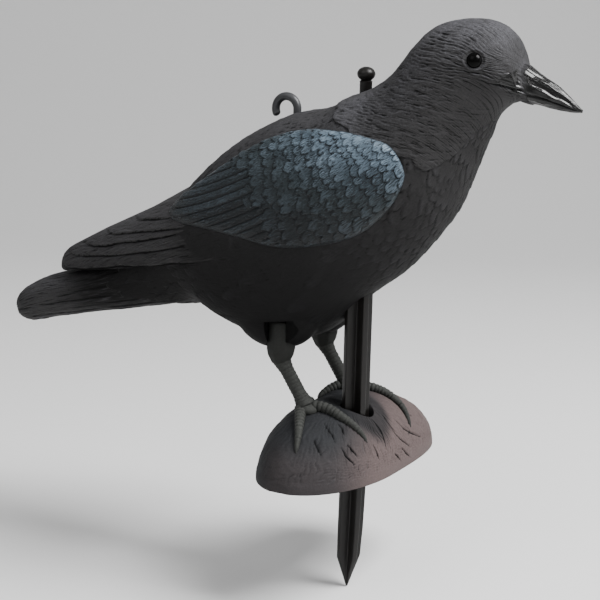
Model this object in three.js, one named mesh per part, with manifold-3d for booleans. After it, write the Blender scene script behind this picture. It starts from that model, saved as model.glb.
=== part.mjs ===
// Crow decoy: a moulded plastic crow on a small mound, with a ground stake and a hanging hook.
// Millimetres, +Z up, +X towards the beak, +Y to the bird's left.
// The origin is on the flat underside of the mound, on the mid-plane, below the ankles.

import * as THREE from 'three';
import { mergeVertices } from 'three/addons/utils/BufferGeometryUtils.js';
import Module from 'manifold-3d';

const wasm = await Module();
wasm.setup();

// Driving dimensions

const BODY_LENGTH = 393; // beak tip to tail end
const HIP_X = -13; // where the thigh pegs meet the body
const HIP_Z = 84;
const HIP_SPREAD = 55; // between the two thigh axes

const EYE_DIAMETER = 9.6;
const EYE_CLEARANCE = 0.3;

const STAKE_X = 24.7;
const STAKE_RIB_REACH = 8.8; // axis to rib tip
const STAKE_RIB_THICKNESS = 4;
const STAKE_TURN = -32; // degrees, first rib from +X
const STAKE_BELOW_MOUND = 78; // mound underside to stake tip
const STAKE_POINT_LENGTH = 20;
const STAKE_TIP_REACH = 0.5;
const STAKE_TIP_THICKNESS = 0.6;
const STAKE_TIP_SET_BACK = 2.2; // the long point is slightly bent to the rear
const STAKE_NECK_DIAMETER = 7.4;
const STAKE_NECK_SHOWN = 7; // back to the underside of the knob
const STAKE_SHOULDER_DEPTH = 22; // back to the top of the ribs
const KNOB_DIAMETER = 10.8;
const KNOB_HEIGHT = 8.5;
const KNOB_PROFILE = [[0.22, 1], [0.62, 1], [0.9, 0.75], [1, 0.35]]; // shares of its height and radius
const STAKE_CLEARANCE = 0.6;

const MOUND_X = 10.5; // where its reaches are measured from, on the mid-plane
const MOUND_FRONT = 41;
const MOUND_REAR = 38.3;
const MOUND_RIGHT = 69;
const MOUND_LEFT = 92;
const MOUND_HEIGHT = 44;
const MOUND_HOLE_DIAMETER = 21;
const MOUND_HOLE_LEAD = 0.9; // hole centre in front of the stake axis
const DISH_DIAMETER = 40; // shallow worn dish round the hole
const DISH_DEPTH = 1.5;
const SADDLE_DEPTH = 2.7; // worn hollow between the feet
const SADDLE_PLACE = [-8, 4];
const SADDLE_REACH = 14;

const PEG_ACROSS = 18; // across the corners of the eight-sided thigh peg
const PEG_RISE = 9; // peg top above the hip
const PEG_WAIST = 12; // where the peg narrows to the heel, below the hip
const PEG_WAIST_RISE = 4; // from there up to its full width
const PEG_TAPER = 0.9;
const HEEL_BELOW_HIP = 17;
const HEEL_DIAMETER = 12;
const PEG_CLEARANCE = 0.6;
const POCKET_RISE = 1.5; // pocket roof above the peg top
const POCKET_FLOOR = 6; // outward from the peg axis, where the open side of the pocket starts
const POCKET_REAR = 4.5; // behind the peg axis, where that side starts
const POCKET_FRONT = 12; // and before it, at the roof
const POCKET_BEVEL = 8; // forward reach of its sloping edge
const POCKET_BEVEL_DROP = 13;
const POCKET_ROOF_SLOPE = 1;
const POCKET_BELOW_HEEL = 20; // the cut runs out under the belly
const POCKET_REACH = 30; // and out through the side
const ANKLE_X = 5;
const ANKLE_HEIGHT = 45;
const TARSUS_DIAMETER = 8.4;
const TARSUS_RINGS = 6;
const TARSUS_RING = 0.07; // every other ring is this much thicker
const TARSUS_OVERLAP = 2.5; // ends inside the heel and the mound
const HEEL_FLARE = 0.35; // how much thicker the shank is at the heel
const HEEL_FLARE_SHARE = 0.25; // part of the shank that it takes
const ANKLE_FLARE = 0.25; // and at the foot
const ANKLE_FLARE_SHARE = 0.2;
const TOE_DIAMETER = 7;
const TOE_TIP_DIAMETER = 2.4;

const HOOK_WIRE = 5;
const HOOK_LOOP = 20; // outer diameter
const HOOK_X = -21; // stem axis
const HOOK_STEM_SHOWN = 2.5;
const HOOK_SWEEP = 215; // degrees of the loop from the stem round to the open end
const HOOK_DEPTH = 9; // how far the stem goes into the back
const HOOK_CLEARANCE = 0.3;

// Materials

const plastic = (color, roughness) =>
  new THREE.MeshStandardMaterial({ color, roughness, metalness: 0 });
const charcoal = plastic(0x3a3839, 0.85);
const moundGrey = plastic(0x4b4b4e, 0.85);
const stakeBlack = plastic(0x211c1b, 0.45);
const hookGrey = new THREE.MeshStandardMaterial({ color: 0x3c3d40, roughness: 0.5, metalness: 0.6 });
const eyeBlack = plastic(0x070707, 0.08);

// Solid helpers

const SMALLEST_EDGE = 0.01; // corners closer than this are one corner
const CUT_OVERRUN = 1; // a cut starts this far outside the face it enters
const HALVINGS = 30; // steps of a search for a place on the skin

function toSolid(geometry) {
  const bare = geometry.clone();
  bare.deleteAttribute('normal');
  bare.deleteAttribute('uv');
  const merged = mergeVertices(bare, 1e-4);
  const vertProperties = new Float32Array(merged.attributes.position.array);
  const triVerts = new Uint32Array(merged.index.array);
  const solid = new wasm.Manifold(new wasm.Mesh({ numProp: 3, vertProperties, triVerts }));
  if (solid.volume() > 0) return solid;
  return new wasm.Manifold(new wasm.Mesh({ numProp: 3, vertProperties, triVerts: triVerts.reverse() }));
}

function withoutSlivers(geometry) {
  const faces = Array.from(geometry.index.array);
  const kept = [];
  for (let i = 0; i < faces.length; i += 3) {
    const [a, b, c] = faces.slice(i, i + 3);
    if (a !== b && b !== c && c !== a) kept.push(a, b, c);
  }
  geometry.setIndex(kept);
  return geometry;
}

function toGeometry(solid) {
  const mesh = solid.getMesh();
  const geometry = new THREE.BufferGeometry();
  const points = new Float32Array(mesh.numVert * 3);
  for (let i = 0; i < mesh.numVert; i += 1) {
    for (let k = 0; k < 3; k += 1) {
      points[3 * i + k] = mesh.vertProperties[mesh.numProp * i + k];
    }
  }
  geometry.setAttribute('position', new THREE.BufferAttribute(points, 3));
  geometry.setIndex(Array.from(mesh.triVerts));
  return withoutSlivers(mergeVertices(geometry, SMALLEST_EDGE));
}

// The largest piece of a solid, by its outer skin alone.
function outerSkin(solid) {
  return solid.decompose().reduce((a, b) => (a.volume() > b.volume() ? a : b));
}

// A closed skin through rings of equal length, ends filled with fans.
function loftOf(rings) {
  const count = rings[0].length;
  const points = [];
  const faces = [];
  rings.forEach((ring) => ring.forEach((p) => points.push(p.x, p.y, p.z)));
  for (let r = 0; r + 1 < rings.length; r += 1) {
    for (let i = 0; i < count; i += 1) {
      const a = r * count + i;
      const b = r * count + ((i + 1) % count);
      faces.push(a, b, b + count, a, b + count, a + count);
    }
  }
  const addCap = (ring, first, flipped) => {
    const middle = new THREE.Vector3();
    ring.forEach((p) => middle.addScaledVector(p, 1 / count));
    const tip = points.length / 3;
    points.push(middle.x, middle.y, middle.z);
    for (let i = 0; i < count; i += 1) {
      const a = first + i;
      const b = first + ((i + 1) % count);
      faces.push(tip, flipped ? b : a, flipped ? a : b);
    }
  };
  addCap(rings[0], 0, true);
  addCap(rings[rings.length - 1], (rings.length - 1) * count, false);
  const geometry = new THREE.BufferGeometry();
  geometry.setAttribute('position', new THREE.Float32BufferAttribute(points, 3));
  geometry.setIndex(faces);
  return geometry;
}

// Smooth value at a share 0..1 along a list of evenly spaced values.
function along(values, share) {
  const last = values.length - 1;
  const place = Math.min(Math.max(share, 0), 1) * last;
  const i = Math.min(Math.floor(place), last - 1);
  const f = place - i;
  const p1 = values[i];
  const p2 = values[i + 1];
  const p0 = i > 0 ? values[i - 1] : 2 * p1 - p2;
  const p3 = i + 2 <= last ? values[i + 2] : 2 * p2 - p1;
  return 0.5 * (2 * p1 + (p2 - p0) * f + (2 * p0 - 5 * p1 + 4 * p2 - p3) * f * f
    + (3 * p1 - p0 - 3 * p2 + p3) * f * f * f);
}

// The bird's form

// Stations from tail end to face: top x, top z, bottom x, bottom z, half width,
// share of the height where it is widest, upper and lower fullness (2 is round).
// They are given on a bird as long as STATION_LENGTH.
const STATION_LENGTH = 392.8;
const STATION_HIP = [-13, 84];
const STATIONS = [
  [-235.5, 75.8, -231, 66, 8, 0.5, 2.2, 2.2],
  [-230, 83, -224.5, 62.2, 15, 0.5, 2.2, 2.2],
  [-220.5, 89.7, -214, 64, 19, 0.5, 2.2, 2.2],
  [-203, 97, -198, 68, 22, 0.5, 2.2, 2.2],
  [-175, 104.5, -165, 75.8, 24, 0.5, 2.2, 2.2],
  [-145, 118, -128, 83, 27, 0.5, 2.1, 2.2],
  [-117, 137, -98, 89.8, 34, 0.5, 2.1, 2.3],
  [-95, 160.4, -75, 93, 42, 0.5, 2.1, 2.4],
  [-76, 180.6, -53, 84.4, 48, 0.5, 2.1, 2.5],
  [-52, 199.5, -27, 78, 51, 0.5, 2.1, 2.5],
  [-22, 214.5, 2, 83, 53, 0.5, 2.1, 2.3],
  [4, 220.3, 30, 108, 53, 0.5, 2.1, 2.1],
  [20, 227.5, 52, 125, 51, 0.5, 2.1, 2.0],
  [33, 233, 68.5, 143, 47, 0.5, 2.0, 2.0],
  [46.5, 242.7, 82.5, 161.5, 42, 0.5, 2.0, 2.0],
  [57.3, 256.8, 92, 183, 37, 0.5, 2.0, 2.0],
  [67.5, 267.5, 101.3, 206, 33, 0.52, 2.0, 2.0],
  [80, 273, 107.4, 220, 30, 0.52, 2.0, 2.0],
  [93, 274.5, 115, 227.3, 27, 0.5, 2.0, 2.0],
  [106, 272.7, 119.5, 229.3, 23, 0.5, 2.0, 2.0],
  [116, 266, 123, 230.4, 16.5, 0.5, 2.0, 2.0],
  [121.5, 252, 123.5, 236, 10, 0.5, 2.0, 2.0],
];
const birdScale = BODY_LENGTH / STATION_LENGTH;
const columns = STATIONS[0].map((_, k) => STATIONS.map((row) => row[k]));

const birdX = (x) => HIP_X + (x - STATION_HIP[0]) * birdScale;
const birdZ = (z) => HIP_Z + (z - STATION_HIP[1]) * birdScale;

function station(share) {
  const [tx, tz, bx, bz, width, widest, upper, lower] = columns.map((c) => along(c, share));
  return {
    top: [birdX(tx), birdZ(tz)],
    bottom: [birdX(bx), birdZ(bz)],
    width: width * birdScale,
    widest,
    upper,
    lower,
  };
}

// Point of the skin: share along the bird, turn 0 at the belly, 0.5 at the back, 1 at the belly.
function skin(share, turn) {
  const s = station(share);
  const angle = turn * 2 * Math.PI;
  const up = -Math.cos(angle);
  const side = Math.sin(angle);
  const power = 2 / (up > 0 ? s.upper : s.lower);
  const room = up > 0 ? 1 - s.widest : s.widest;
  const height = s.widest + room * Math.sign(up) * Math.abs(up) ** power;
  return new THREE.Vector3(
    s.bottom[0] + (s.top[0] - s.bottom[0]) * height,
    s.width * Math.sign(side) * Math.abs(side) ** power,
    s.bottom[1] + (s.top[1] - s.bottom[1]) * height,
  );
}

// Share along the bird where a side-view point lies on the skin, and its turn on one side.
function skinPlace(x, z) {
  const miss = (share) => {
    const { top, bottom } = station(share);
    return (top[0] - bottom[0]) * (z - bottom[1]) - (top[1] - bottom[1]) * (x - bottom[0]);
  };
  let low = 0;
  let high = 1;
  for (let i = 0; i < HALVINGS; i += 1) {
    const middle = (low + high) / 2;
    if (miss(middle) > 0) high = middle;
    else low = middle;
  }
  const s = station(low);
  const height = Math.hypot(x - s.bottom[0], z - s.bottom[1])
    / Math.hypot(s.top[0] - s.bottom[0], s.top[1] - s.bottom[1]);
  const above = height > s.widest;
  const room = above ? 1 - s.widest : s.widest;
  const reach = Math.min(Math.abs(height - s.widest) / room, 1);
  const up = reach ** ((above ? s.upper : s.lower) / 2) * (above ? 1 : -1);
  return { share: low, turn: Math.acos(-up) / (2 * Math.PI) };
}

// Point of the skin under a side-view point, lifted off it; side is 1 for left, -1 for right.
function onSkin(x, z, lift, side) {
  const { share, turn } = skinPlace(x, z);
  const step = 0.004;
  const here = skin(share, turn);
  const ahead = skin(share + step, turn).sub(skin(share - step, turn));
  const round = skin(share, turn + step).sub(skin(share, turn - step));
  const outward = new THREE.Vector3().crossVectors(round, ahead).normalize();
  if (outward.y < 0) outward.negate();
  here.addScaledVector(outward, lift);
  here.y *= side;
  return here;
}

// Height of the back above a place on the mid-plane.
function backHeight(x) {
  let low = 0;
  let high = 1;
  for (let i = 0; i < HALVINGS; i += 1) {
    const middle = (low + high) / 2;
    if (station(middle).top[0] < x) low = middle;
    else high = middle;
  }
  return station(low).top[1];
}

const BODY_RINGS = 34;
const BODY_SIDES = 28;
const TAIL_SHARE = 0.25; // part of the rings that is tail, with lengthwise feather grooves
const TAIL_GROOVE = 1.4;
const TAIL_GROOVE_EVERY = 4; // one groove to this many sides
const CAPE_SHARE = 0.6; // where the neck feathers end over the breast and back
const CAPE_STEP = 1.2;

function bodyGeometry() {
  const rings = [];
  for (let r = 0; r <= BODY_RINGS; r += 1) {
    const share = r / BODY_RINGS;
    const tailFade = Math.sqrt(Math.max(0, 1 - share / TAIL_SHARE));
    const capeFade = share > CAPE_SHARE ? (1 - share) / (1 - CAPE_SHARE) : 0;
    const middle = skin(share, 0).lerp(skin(share, 0.5), 0.5);
    const ring = [];
    for (let i = 0; i < BODY_SIDES; i += 1) {
      const point = skin(share, i / BODY_SIDES);
      const outward = point.clone().sub(middle).normalize();
      const inGroove = r > 0 && i % TAIL_GROOVE_EVERY === TAIL_GROOVE_EVERY / 2;
      const lift = CAPE_STEP * capeFade - (inGroove ? TAIL_GROOVE * tailFade : 0);
      ring.push(point.addScaledVector(outward, lift * birdScale));
    }
    rings.push(ring);
  }
  return loftOf(rings);
}

// Beak, given like the stations: x, culmen z, gape z, chin z, half width.
const BEAK = [
  [116, 257.2, 238, 228.8, 15],
  [124, 251, 236.8, 228.8, 11],
  [131.5, 245.9, 235, 228.6, 8.6],
  [139, 241.6, 232.7, 227, 6.6],
  [146, 236.7, 230.3, 225.9, 4.6],
  [152, 231.8, 228, 225.3, 2.8],
  [157.3, 227.2, 226.4, 225.4, 0.9],
];
const BEAK_RINGS = 8;
const BEAK_SIDES = 8; // across the upper or the lower half
const BEAK_BLUNTNESS = 0.8;
const LOWER_BEAK_NARROWER = 0.82;
const GAPE_DIP = 0.9; // upper half overhangs the gape by this much

function beakHalf(isUpper) {
  const rings = [];
  for (let r = 0; r <= BEAK_RINGS; r += 1) {
    const share = r / BEAK_RINGS;
    const [x, culmen, gape, chin, width] = BEAK[0].map((_, k) => along(BEAK.map((row) => row[k]), share));
    const base = isUpper ? gape - GAPE_DIP * (1 - share) : gape + GAPE_DIP;
    const far = isUpper ? culmen : chin;
    const half = (isUpper ? width : width * LOWER_BEAK_NARROWER) * birdScale;
    const ring = [];
    for (let i = 0; i <= BEAK_SIDES; i += 1) {
      const angle = (i / BEAK_SIDES) * Math.PI;
      const rise = Math.sin(angle) ** BEAK_BLUNTNESS;
      ring.push(new THREE.Vector3(birdX(x), half * Math.cos(angle), birdZ(base + (far - base) * rise)));
    }
    rings.push(ring);
  }
  return loftOf(rings);
}

// Full thigh over each leg pocket
const THIGH_REACH = [26, 18, 18];
const THIGH_BEHIND_HIP = 5.5;
const THIGH_RISE = 9;
const THIGH_INWARD = 5; // inside the peg axis
const THIGH_FACETS = [10, 6]; // round and from top to bottom

function thighSolid(side) {
  const geometry = new THREE.SphereGeometry(birdScale, ...THIGH_FACETS);
  geometry.scale(...THIGH_REACH);
  geometry.translate(HIP_X - THIGH_BEHIND_HIP, (HIP_SPREAD / 2 - THIGH_INWARD) * side, HIP_Z + THIGH_RISE);
  return toSolid(geometry);
}

// Wing covert pad: raised oval of scale feathers with a row of long ones at its rear tip.
const PAD_FRONT = [70, 191.3];
const PAD_REAR = [-91.4, 148.1];
const PAD_ABOVE = [0, 14.2, 21.4, 28.4, 33.7, 33.7, 27.8, 19.4, 13.1, 7.1, 0];
const PAD_BELOW = [0, -9.7, -21.4, -30.8, -32.6, -28.9, -18.6, -10.1, -4.6, -1.5, 0];
const PAD_THICKNESS = 3.6;
const PAD_SCALE_LIFT = 1.5;
const PAD_ROWS = 8;
const PAD_LONG_ROWS = 2; // rows at the rear tip that are long feathers instead of scales
const PAD_LONG_FEATHERS = 5;
const PAD_FEATHERS = 5; // scales across
const PAD_SCALLOP = 0.6; // depth of a scalloped edge, in rows
const PAD_SCALLOP_FULL = 4; // rows from the front to the first full-depth edge
const PAD_SCALLOP_SIDES = 8; // how soon the scallops reach full depth from above and below
const PAD_SCALLOP_MIDDLE = 0.6; // level of the scallop that lies on its row's line
const PAD_SCALE_SHOULDER = 0.5; // height of a scale beside its middle
const PAD_EDGE = 0.2; // the step down behind a row, in rows
const PAD_SPAN = 18; // points across
const PAD_MARGIN = 0.02; // share left off at either point of the oval
const PAD_SIDE_RIM = 6; // steepness of the rim above and below
const PAD_END_RIM = 5; // and at the two points
const PAD_ROOT = 6; // how deep its back lies under the skin
const PAD_ROOTS = 3; // points across the back

function padPoint(s, w, lift, side) {
  const u = Math.sin((Math.PI / 2) * s) ** 2;
  const axis = [PAD_REAR[0] - PAD_FRONT[0], PAD_REAR[1] - PAD_FRONT[1]];
  const size = Math.hypot(axis[0], axis[1]);
  const across = along(PAD_ABOVE, s) * (1 - w) + along(PAD_BELOW, s) * w;
  const x = PAD_FRONT[0] + axis[0] * u + (axis[1] / size) * across;
  const z = PAD_FRONT[1] + axis[1] * u - (axis[0] / size) * across;
  return onSkin(birdX(x), birdZ(z), lift * birdScale, side);
}

function padGeometry(side) {
  const rings = [];
  for (let r = 0; r <= 2 * PAD_ROWS; r += 1) {
    const edge = Math.floor((r + 1) / 2);
    const isHigh = r % 2 === 1;
    const isLong = edge > PAD_ROWS - PAD_LONG_ROWS;
    const place = edge - (isHigh ? PAD_EDGE : 0);
    const ring = [];
    for (let c = 0; c <= PAD_SPAN; c += 1) {
      const w = c / PAD_SPAN;
      const wave = Math.abs(Math.sin((w * PAD_FEATHERS + (edge % 2) / 2) * Math.PI));
      const full = Math.min(1, edge / PAD_SCALLOP_FULL) * Math.min(1, PAD_SCALLOP_SIDES * w * (1 - w));
      const shift = isLong ? 0 : PAD_SCALLOP * full * (wave - PAD_SCALLOP_MIDDLE);
      const s = PAD_MARGIN + (1 - 2 * PAD_MARGIN) * Math.min((place + shift) / PAD_ROWS, 1);
      const rim = Math.min(1, PAD_SIDE_RIM * Math.min(w, 1 - w), PAD_END_RIM * Math.min(s, 1 - s));
      const quill = Math.sqrt(Math.abs(Math.sin(w * PAD_LONG_FEATHERS * Math.PI)));
      const scale = PAD_SCALE_SHOULDER + (1 - PAD_SCALE_SHOULDER) * wave;
      const rise = isLong ? quill : Number(isHigh) * scale;
      ring.push(padPoint(s, w, PAD_THICKNESS * Math.sqrt(rim) + PAD_SCALE_LIFT * rise * rim, side));
    }
    for (let c = PAD_ROOTS; c >= 0; c -= 1) {
      const s = PAD_MARGIN + (1 - 2 * PAD_MARGIN) * (place / PAD_ROWS);
      ring.push(padPoint(s, c / PAD_ROOTS, -PAD_ROOT, side));
    }
    rings.push(ring);
  }
  return loftOf(rings);
}

// Folded flight feathers: layers stepped back one over the other, each ending on the wing's
// upper edge. Given like the stations, from tip to front: x, upper edge z, lower edge z and
// reach from the mid-plane.
const WING = [
  [-199, 109, 104, 11],
  [-194, 113.5, 100.5, 14],
  [-180, 121.2, 103.7, 18],
  [-154, 134.4, 108, 26],
  [-114, 152.8, 115.5, 38.5],
  [-76, 173.6, 122.5, 48.5],
  [-43, 190, 128, 53],
  [-14, 200.5, 133, 54.5],
  [20, 205, 139, 51],
  [34, 206, 143, 38],
];
const WING_TIPS = [-197, -186, -171, -155, -134]; // one for each layer
const RIGHT_WING_SHORTER = 0.5;
const WING_LOW_SHARE = [0, 0.2, 0.41, 0.55, 0.7]; // lower edge of each layer, as a share of the height
const WING_FRONT = [34, -45, -50, -50, -50]; // under the pad, but for the lowest layer
const WING_TIP_SHARE = [0.1, 0.85, 0.85, 0.85, 0.85]; // height of each rounded tip
const WING_TIP_LENGTH = 0.08; // part of a layer that is its rounded tip
const WING_RIDGE = 8; // half width of the flat top
const WING_OVERLAP = 1; // past the mid-plane, where the two wings meet
const WING_THICKNESS = 4; // there
const WING_LAYER_STEP = 0.9;
const WING_STEP_FADE = [-60, -110]; // layers lie flush in front of the first, full step behind
const WING_SECTIONS = 6;
const WING_SECTION_CROWDING = 1.6; // the sections lie closer together towards the tip
const WING_BULGE = 0.45; // roundness of the side
const WING_SIDES = 4;

// Straight reading of the wing's table.
function wingAt(x) {
  const last = WING.length - 2;
  const after = WING.findIndex((row) => row[0] > x);
  const i = after < 0 ? last : Math.min(Math.max(after - 1, 0), last);
  const f = (x - WING[i][0]) / (WING[i + 1][0] - WING[i][0]);
  return WING[i].map((value, k) => value + f * (WING[i + 1][k] - value));
}

function wingLayer(layer, side) {
  const tip = WING_TIPS[layer] + (side > 0 ? 0 : RIGHT_WING_SHORTER);
  const rings = [];
  for (let r = 0; r <= WING_SECTIONS; r += 1) {
    const share = (r / WING_SECTIONS) ** WING_SECTION_CROWDING;
    const x = tip + (WING_FRONT[layer] - tip) * share;
    const [, top, low, reach] = wingAt(x);
    const rounding = Math.min(1, Math.sqrt(share / WING_TIP_LENGTH));
    const start = WING_LOW_SHARE[layer] * rounding + WING_TIP_SHARE[layer] * (1 - rounding);
    const fade = (WING_STEP_FADE[0] - x) / (WING_STEP_FADE[0] - WING_STEP_FADE[1]);
    const step = layer * WING_LAYER_STEP * Math.min(1, Math.max(0, fade));
    const ring = [];
    for (let i = 0; i <= WING_SIDES; i += 1) {
      const f = start + (1 - start) * Math.sin((i / WING_SIDES) * (Math.PI / 2));
      const bulge = Math.max(0, 1 - f * f) ** WING_BULGE;
      ring.push([WING_RIDGE + (reach + step - WING_RIDGE) * bulge, low + (top - low) * f]);
    }
    ring.push([-WING_OVERLAP, top - WING_THICKNESS]);
    ring.push([-WING_OVERLAP, low + (top - low) * start]);
    rings.push(ring.map(([y, z]) => new THREE.Vector3(birdX(x), y * birdScale * side, birdZ(z))));
  }
  return loftOf(rings);
}

const NEARLY_UPRIGHT = 0.9;

// A closed round bar through a list of points with a radius at each.
function bar(points, radii, sides, across) {
  const rings = points.map((point, i) => {
    const before = points[Math.max(i - 1, 0)];
    const after = points[Math.min(i + 1, points.length - 1)];
    const ahead = after.clone().sub(before).normalize();
    const upright = Math.abs(ahead.z) > NEARLY_UPRIGHT;
    const reference = across ?? new THREE.Vector3(upright ? 1 : 0, 0, upright ? 0 : 1);
    const u = new THREE.Vector3().crossVectors(ahead, reference).normalize();
    const v = new THREE.Vector3().crossVectors(ahead, u);
    const ring = [];
    for (let k = 0; k < sides; k += 1) {
      const angle = (k / sides) * 2 * Math.PI;
      ring.push(point.clone()
        .addScaledVector(u, radii[i] * Math.cos(angle))
        .addScaledVector(v, radii[i] * Math.sin(angle)));
    }
    return ring;
  });
  return loftOf(rings);
}

// An upright prism whose radius changes with height, from [z, radius] pairs.
function turned(pairs, sides, x, y) {
  const rings = pairs.map(([z, radius]) => {
    const ring = [];
    for (let k = 0; k < sides; k += 1) {
      const angle = ((k + 0.5) / sides) * 2 * Math.PI;
      ring.push(new THREE.Vector3(x + radius * Math.cos(angle), y + radius * Math.sin(angle), z));
    }
    return ring;
  });
  return loftOf(rings);
}

// Mound

const MOUND_SECTORS = 34;
const MOUND_RINGS = 7;
const MOUND_FLAT_TOP = 0.6; // the last ring stops this many rings short of the summit
const CREASE_DEPTH = 1.3;
const CREASES = 17;
const CREASE_WANDER = 2;
const LEFT_FULLNESS = 3.4; // 2 is an ellipse
const RIGHT_FULLNESS = 2;

// Reach of the footprint from its centre in a direction, with a fuller left side.
function footprint(angle) {
  const c = Math.cos(angle);
  const s = Math.sin(angle);
  const a = Math.abs(c) / (c > 0 ? MOUND_FRONT : MOUND_REAR);
  const b = Math.abs(s) / (s > 0 ? MOUND_LEFT : MOUND_RIGHT);
  const power = s > 0 ? LEFT_FULLNESS : RIGHT_FULLNESS;
  return (a ** power + b ** power) ** (-1 / power);
}

// Height of the dome over a place, without its rounding towards the foot.
function summit(x, y) {
  const away = Math.hypot(x - SADDLE_PLACE[0], y - SADDLE_PLACE[1]) / SADDLE_REACH;
  return MOUND_HEIGHT - SADDLE_DEPTH * Math.exp(-away * away);
}

function moundHeight(x, y) {
  const dx = x - MOUND_X;
  const share = Math.min(1, Math.hypot(dx, y) / footprint(Math.atan2(y, dx)));
  return summit(x, y) * Math.sqrt(1 - share * share);
}

function moundGeometry() {
  const rings = [];
  for (let r = 0; r <= MOUND_RINGS; r += 1) {
    const lean = (r / (MOUND_RINGS + MOUND_FLAT_TOP)) * (Math.PI / 2);
    const ring = [];
    for (let k = 0; k < MOUND_SECTORS; k += 1) {
      const angle = (k / MOUND_SECTORS) * 2 * Math.PI;
      const wave = Math.sin(CREASES * angle + CREASE_WANDER * Math.sin(3 * angle));
      const reach = footprint(angle) * Math.cos(lean) + CREASE_DEPTH * Math.sin(2 * lean) * wave;
      const x = MOUND_X + reach * Math.cos(angle);
      const y = reach * Math.sin(angle);
      ring.push(new THREE.Vector3(x, y, summit(x, y) * Math.sin(lean)));
    }
    rings.push(ring);
  }
  return loftOf(rings);
}

// Toe routes over the mound: plan steps forward and outward from each ankle.
const RIGHT_TOES = [
  [[-3, 0], [11, -3], [22, -3.5], [31, -6], [38, -8.5]],
  [[-3, 0], [1, 8.5], [5, 16.5], [8.5, 24], [11, 30.5]],
  [[-3, -1], [-4, -7], [-5, -13], [-5, -19]],
];
const LEFT_TOES = [
  [[-3, 0], [12, 6], [23, 9.5], [33, 11], [41, 8.5]],
  [[-3, 0], [1, 8.5], [5, 16.5], [8.5, 24], [11, 30.5]],
  [[-3, -1], [-7, -7], [-10, -13], [-11, -19]],
];
const TOE_STEPS = 7;
const TOE_SIDES = 6;
const TOE_RING = 0.1; // every other ring is this much thicker
const TOE_RAISED = 0.55; // axis above the mound, in toe radii
const CLAW_SUNK = 0.5; // axis of its claw below the mound's surface, likewise
const CLAW_SHARE = 0.85; // last part of a toe is a smooth claw that dips into the mound

function toeGeometry(route, side) {
  const points = [];
  const radii = [];
  for (let i = 0; i <= TOE_STEPS; i += 1) {
    const share = i / TOE_STEPS;
    const x = ANKLE_X + along(route.map((p) => p[0]), share);
    const y = (HIP_SPREAD / 2 + along(route.map((p) => p[1]), share)) * side;
    const radius = (TOE_DIAMETER * (1 - share) + TOE_TIP_DIAMETER * share) / 2;
    const isClaw = share > CLAW_SHARE;
    points.push(new THREE.Vector3(x, y, moundHeight(x, y) + radius * (isClaw ? -CLAW_SUNK : TOE_RAISED)));
    radii.push(isClaw ? radius : radius * (1 + TOE_RING * (i % 2)));
  }
  return bar(points, radii, TOE_SIDES);
}

const pegTop = HIP_Z + PEG_RISE;
const heelZ = HIP_Z - HEEL_BELOW_HIP;

function legSolid(side) {
  const y = (HIP_SPREAD / 2) * side;
  const radius = PEG_ACROSS / 2;
  const peg = toSolid(turned([
    [heelZ, HEEL_DIAMETER / 2],
    [HIP_Z - PEG_WAIST, radius * PEG_TAPER],
    [HIP_Z - PEG_WAIST + PEG_WAIST_RISE, radius],
    [pegTop, radius * PEG_TAPER],
  ], 8, HIP_X, y));
  const heel = new THREE.Vector3(HIP_X, y, heelZ + TARSUS_OVERLAP);
  const ankle = new THREE.Vector3(ANKLE_X, y, ANKLE_HEIGHT - TARSUS_OVERLAP);
  const points = [];
  const radii = [];
  const steps = TARSUS_RINGS * 2;
  for (let i = 0; i <= steps; i += 1) {
    const share = i / steps;
    const heelFlare = HEEL_FLARE * Math.max(0, 1 - share / HEEL_FLARE_SHARE);
    const ankleFlare = ANKLE_FLARE * Math.max(0, 1 - (1 - share) / ANKLE_FLARE_SHARE);
    const flare = heelFlare + ankleFlare;
    points.push(heel.clone().lerp(ankle, share));
    radii.push((TARSUS_DIAMETER / 2) * (1 + flare + TARSUS_RING * (i % 2)));
  }
  return peg.add(toSolid(bar(points, radii, 8)));
}

function pocketSolid(side) {
  const y = (HIP_SPREAD / 2) * side;
  const radius = PEG_ACROSS / 2 + PEG_CLEARANCE / Math.cos(Math.PI / 8);
  const roof = pegTop + POCKET_RISE;
  const foot = heelZ - POCKET_BELOW_HEEL;
  const round = toSolid(turned([[foot, radius], [roof, radius]], 8, HIP_X, y));
  const outline = [
    [-POCKET_REAR, foot],
    [-POCKET_REAR, roof - POCKET_ROOF_SLOPE],
    [POCKET_FRONT, roof + POCKET_ROOF_SLOPE],
    [POCKET_FRONT + POCKET_BEVEL, roof - POCKET_BEVEL_DROP],
    [POCKET_FRONT + POCKET_BEVEL, foot],
  ];
  const ends = [POCKET_FLOOR, POCKET_FLOOR + POCKET_REACH];
  const recess = toSolid(loftOf(ends.map((out) => outline.map(
    ([x, z]) => new THREE.Vector3(HIP_X + x, (HIP_SPREAD / 2 + out) * side, z),
  ))));
  return round.add(recess);
}

// Stake: cross-shaped below, round above the shoulder

const stakeTopZ = backHeight(STAKE_X) + STAKE_NECK_SHOWN + KNOB_HEIGHT;
const shoulderZ = backHeight(STAKE_X) - STAKE_SHOULDER_DEPTH;

function crossRing(z, reach, thickness, setBack) {
  const t = thickness / 2;
  const outline = [
    [reach, -t], [reach, t], [t, t], [t, reach], [-t, reach], [-t, t],
    [-reach, t], [-reach, -t], [-t, -t], [-t, -reach], [t, -reach], [t, -t],
  ];
  const turn = (STAKE_TURN * Math.PI) / 180;
  return outline.map(([a, b]) => new THREE.Vector3(
    STAKE_X - setBack + a * Math.cos(turn) - b * Math.sin(turn),
    a * Math.sin(turn) + b * Math.cos(turn),
    z,
  ));
}

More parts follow.
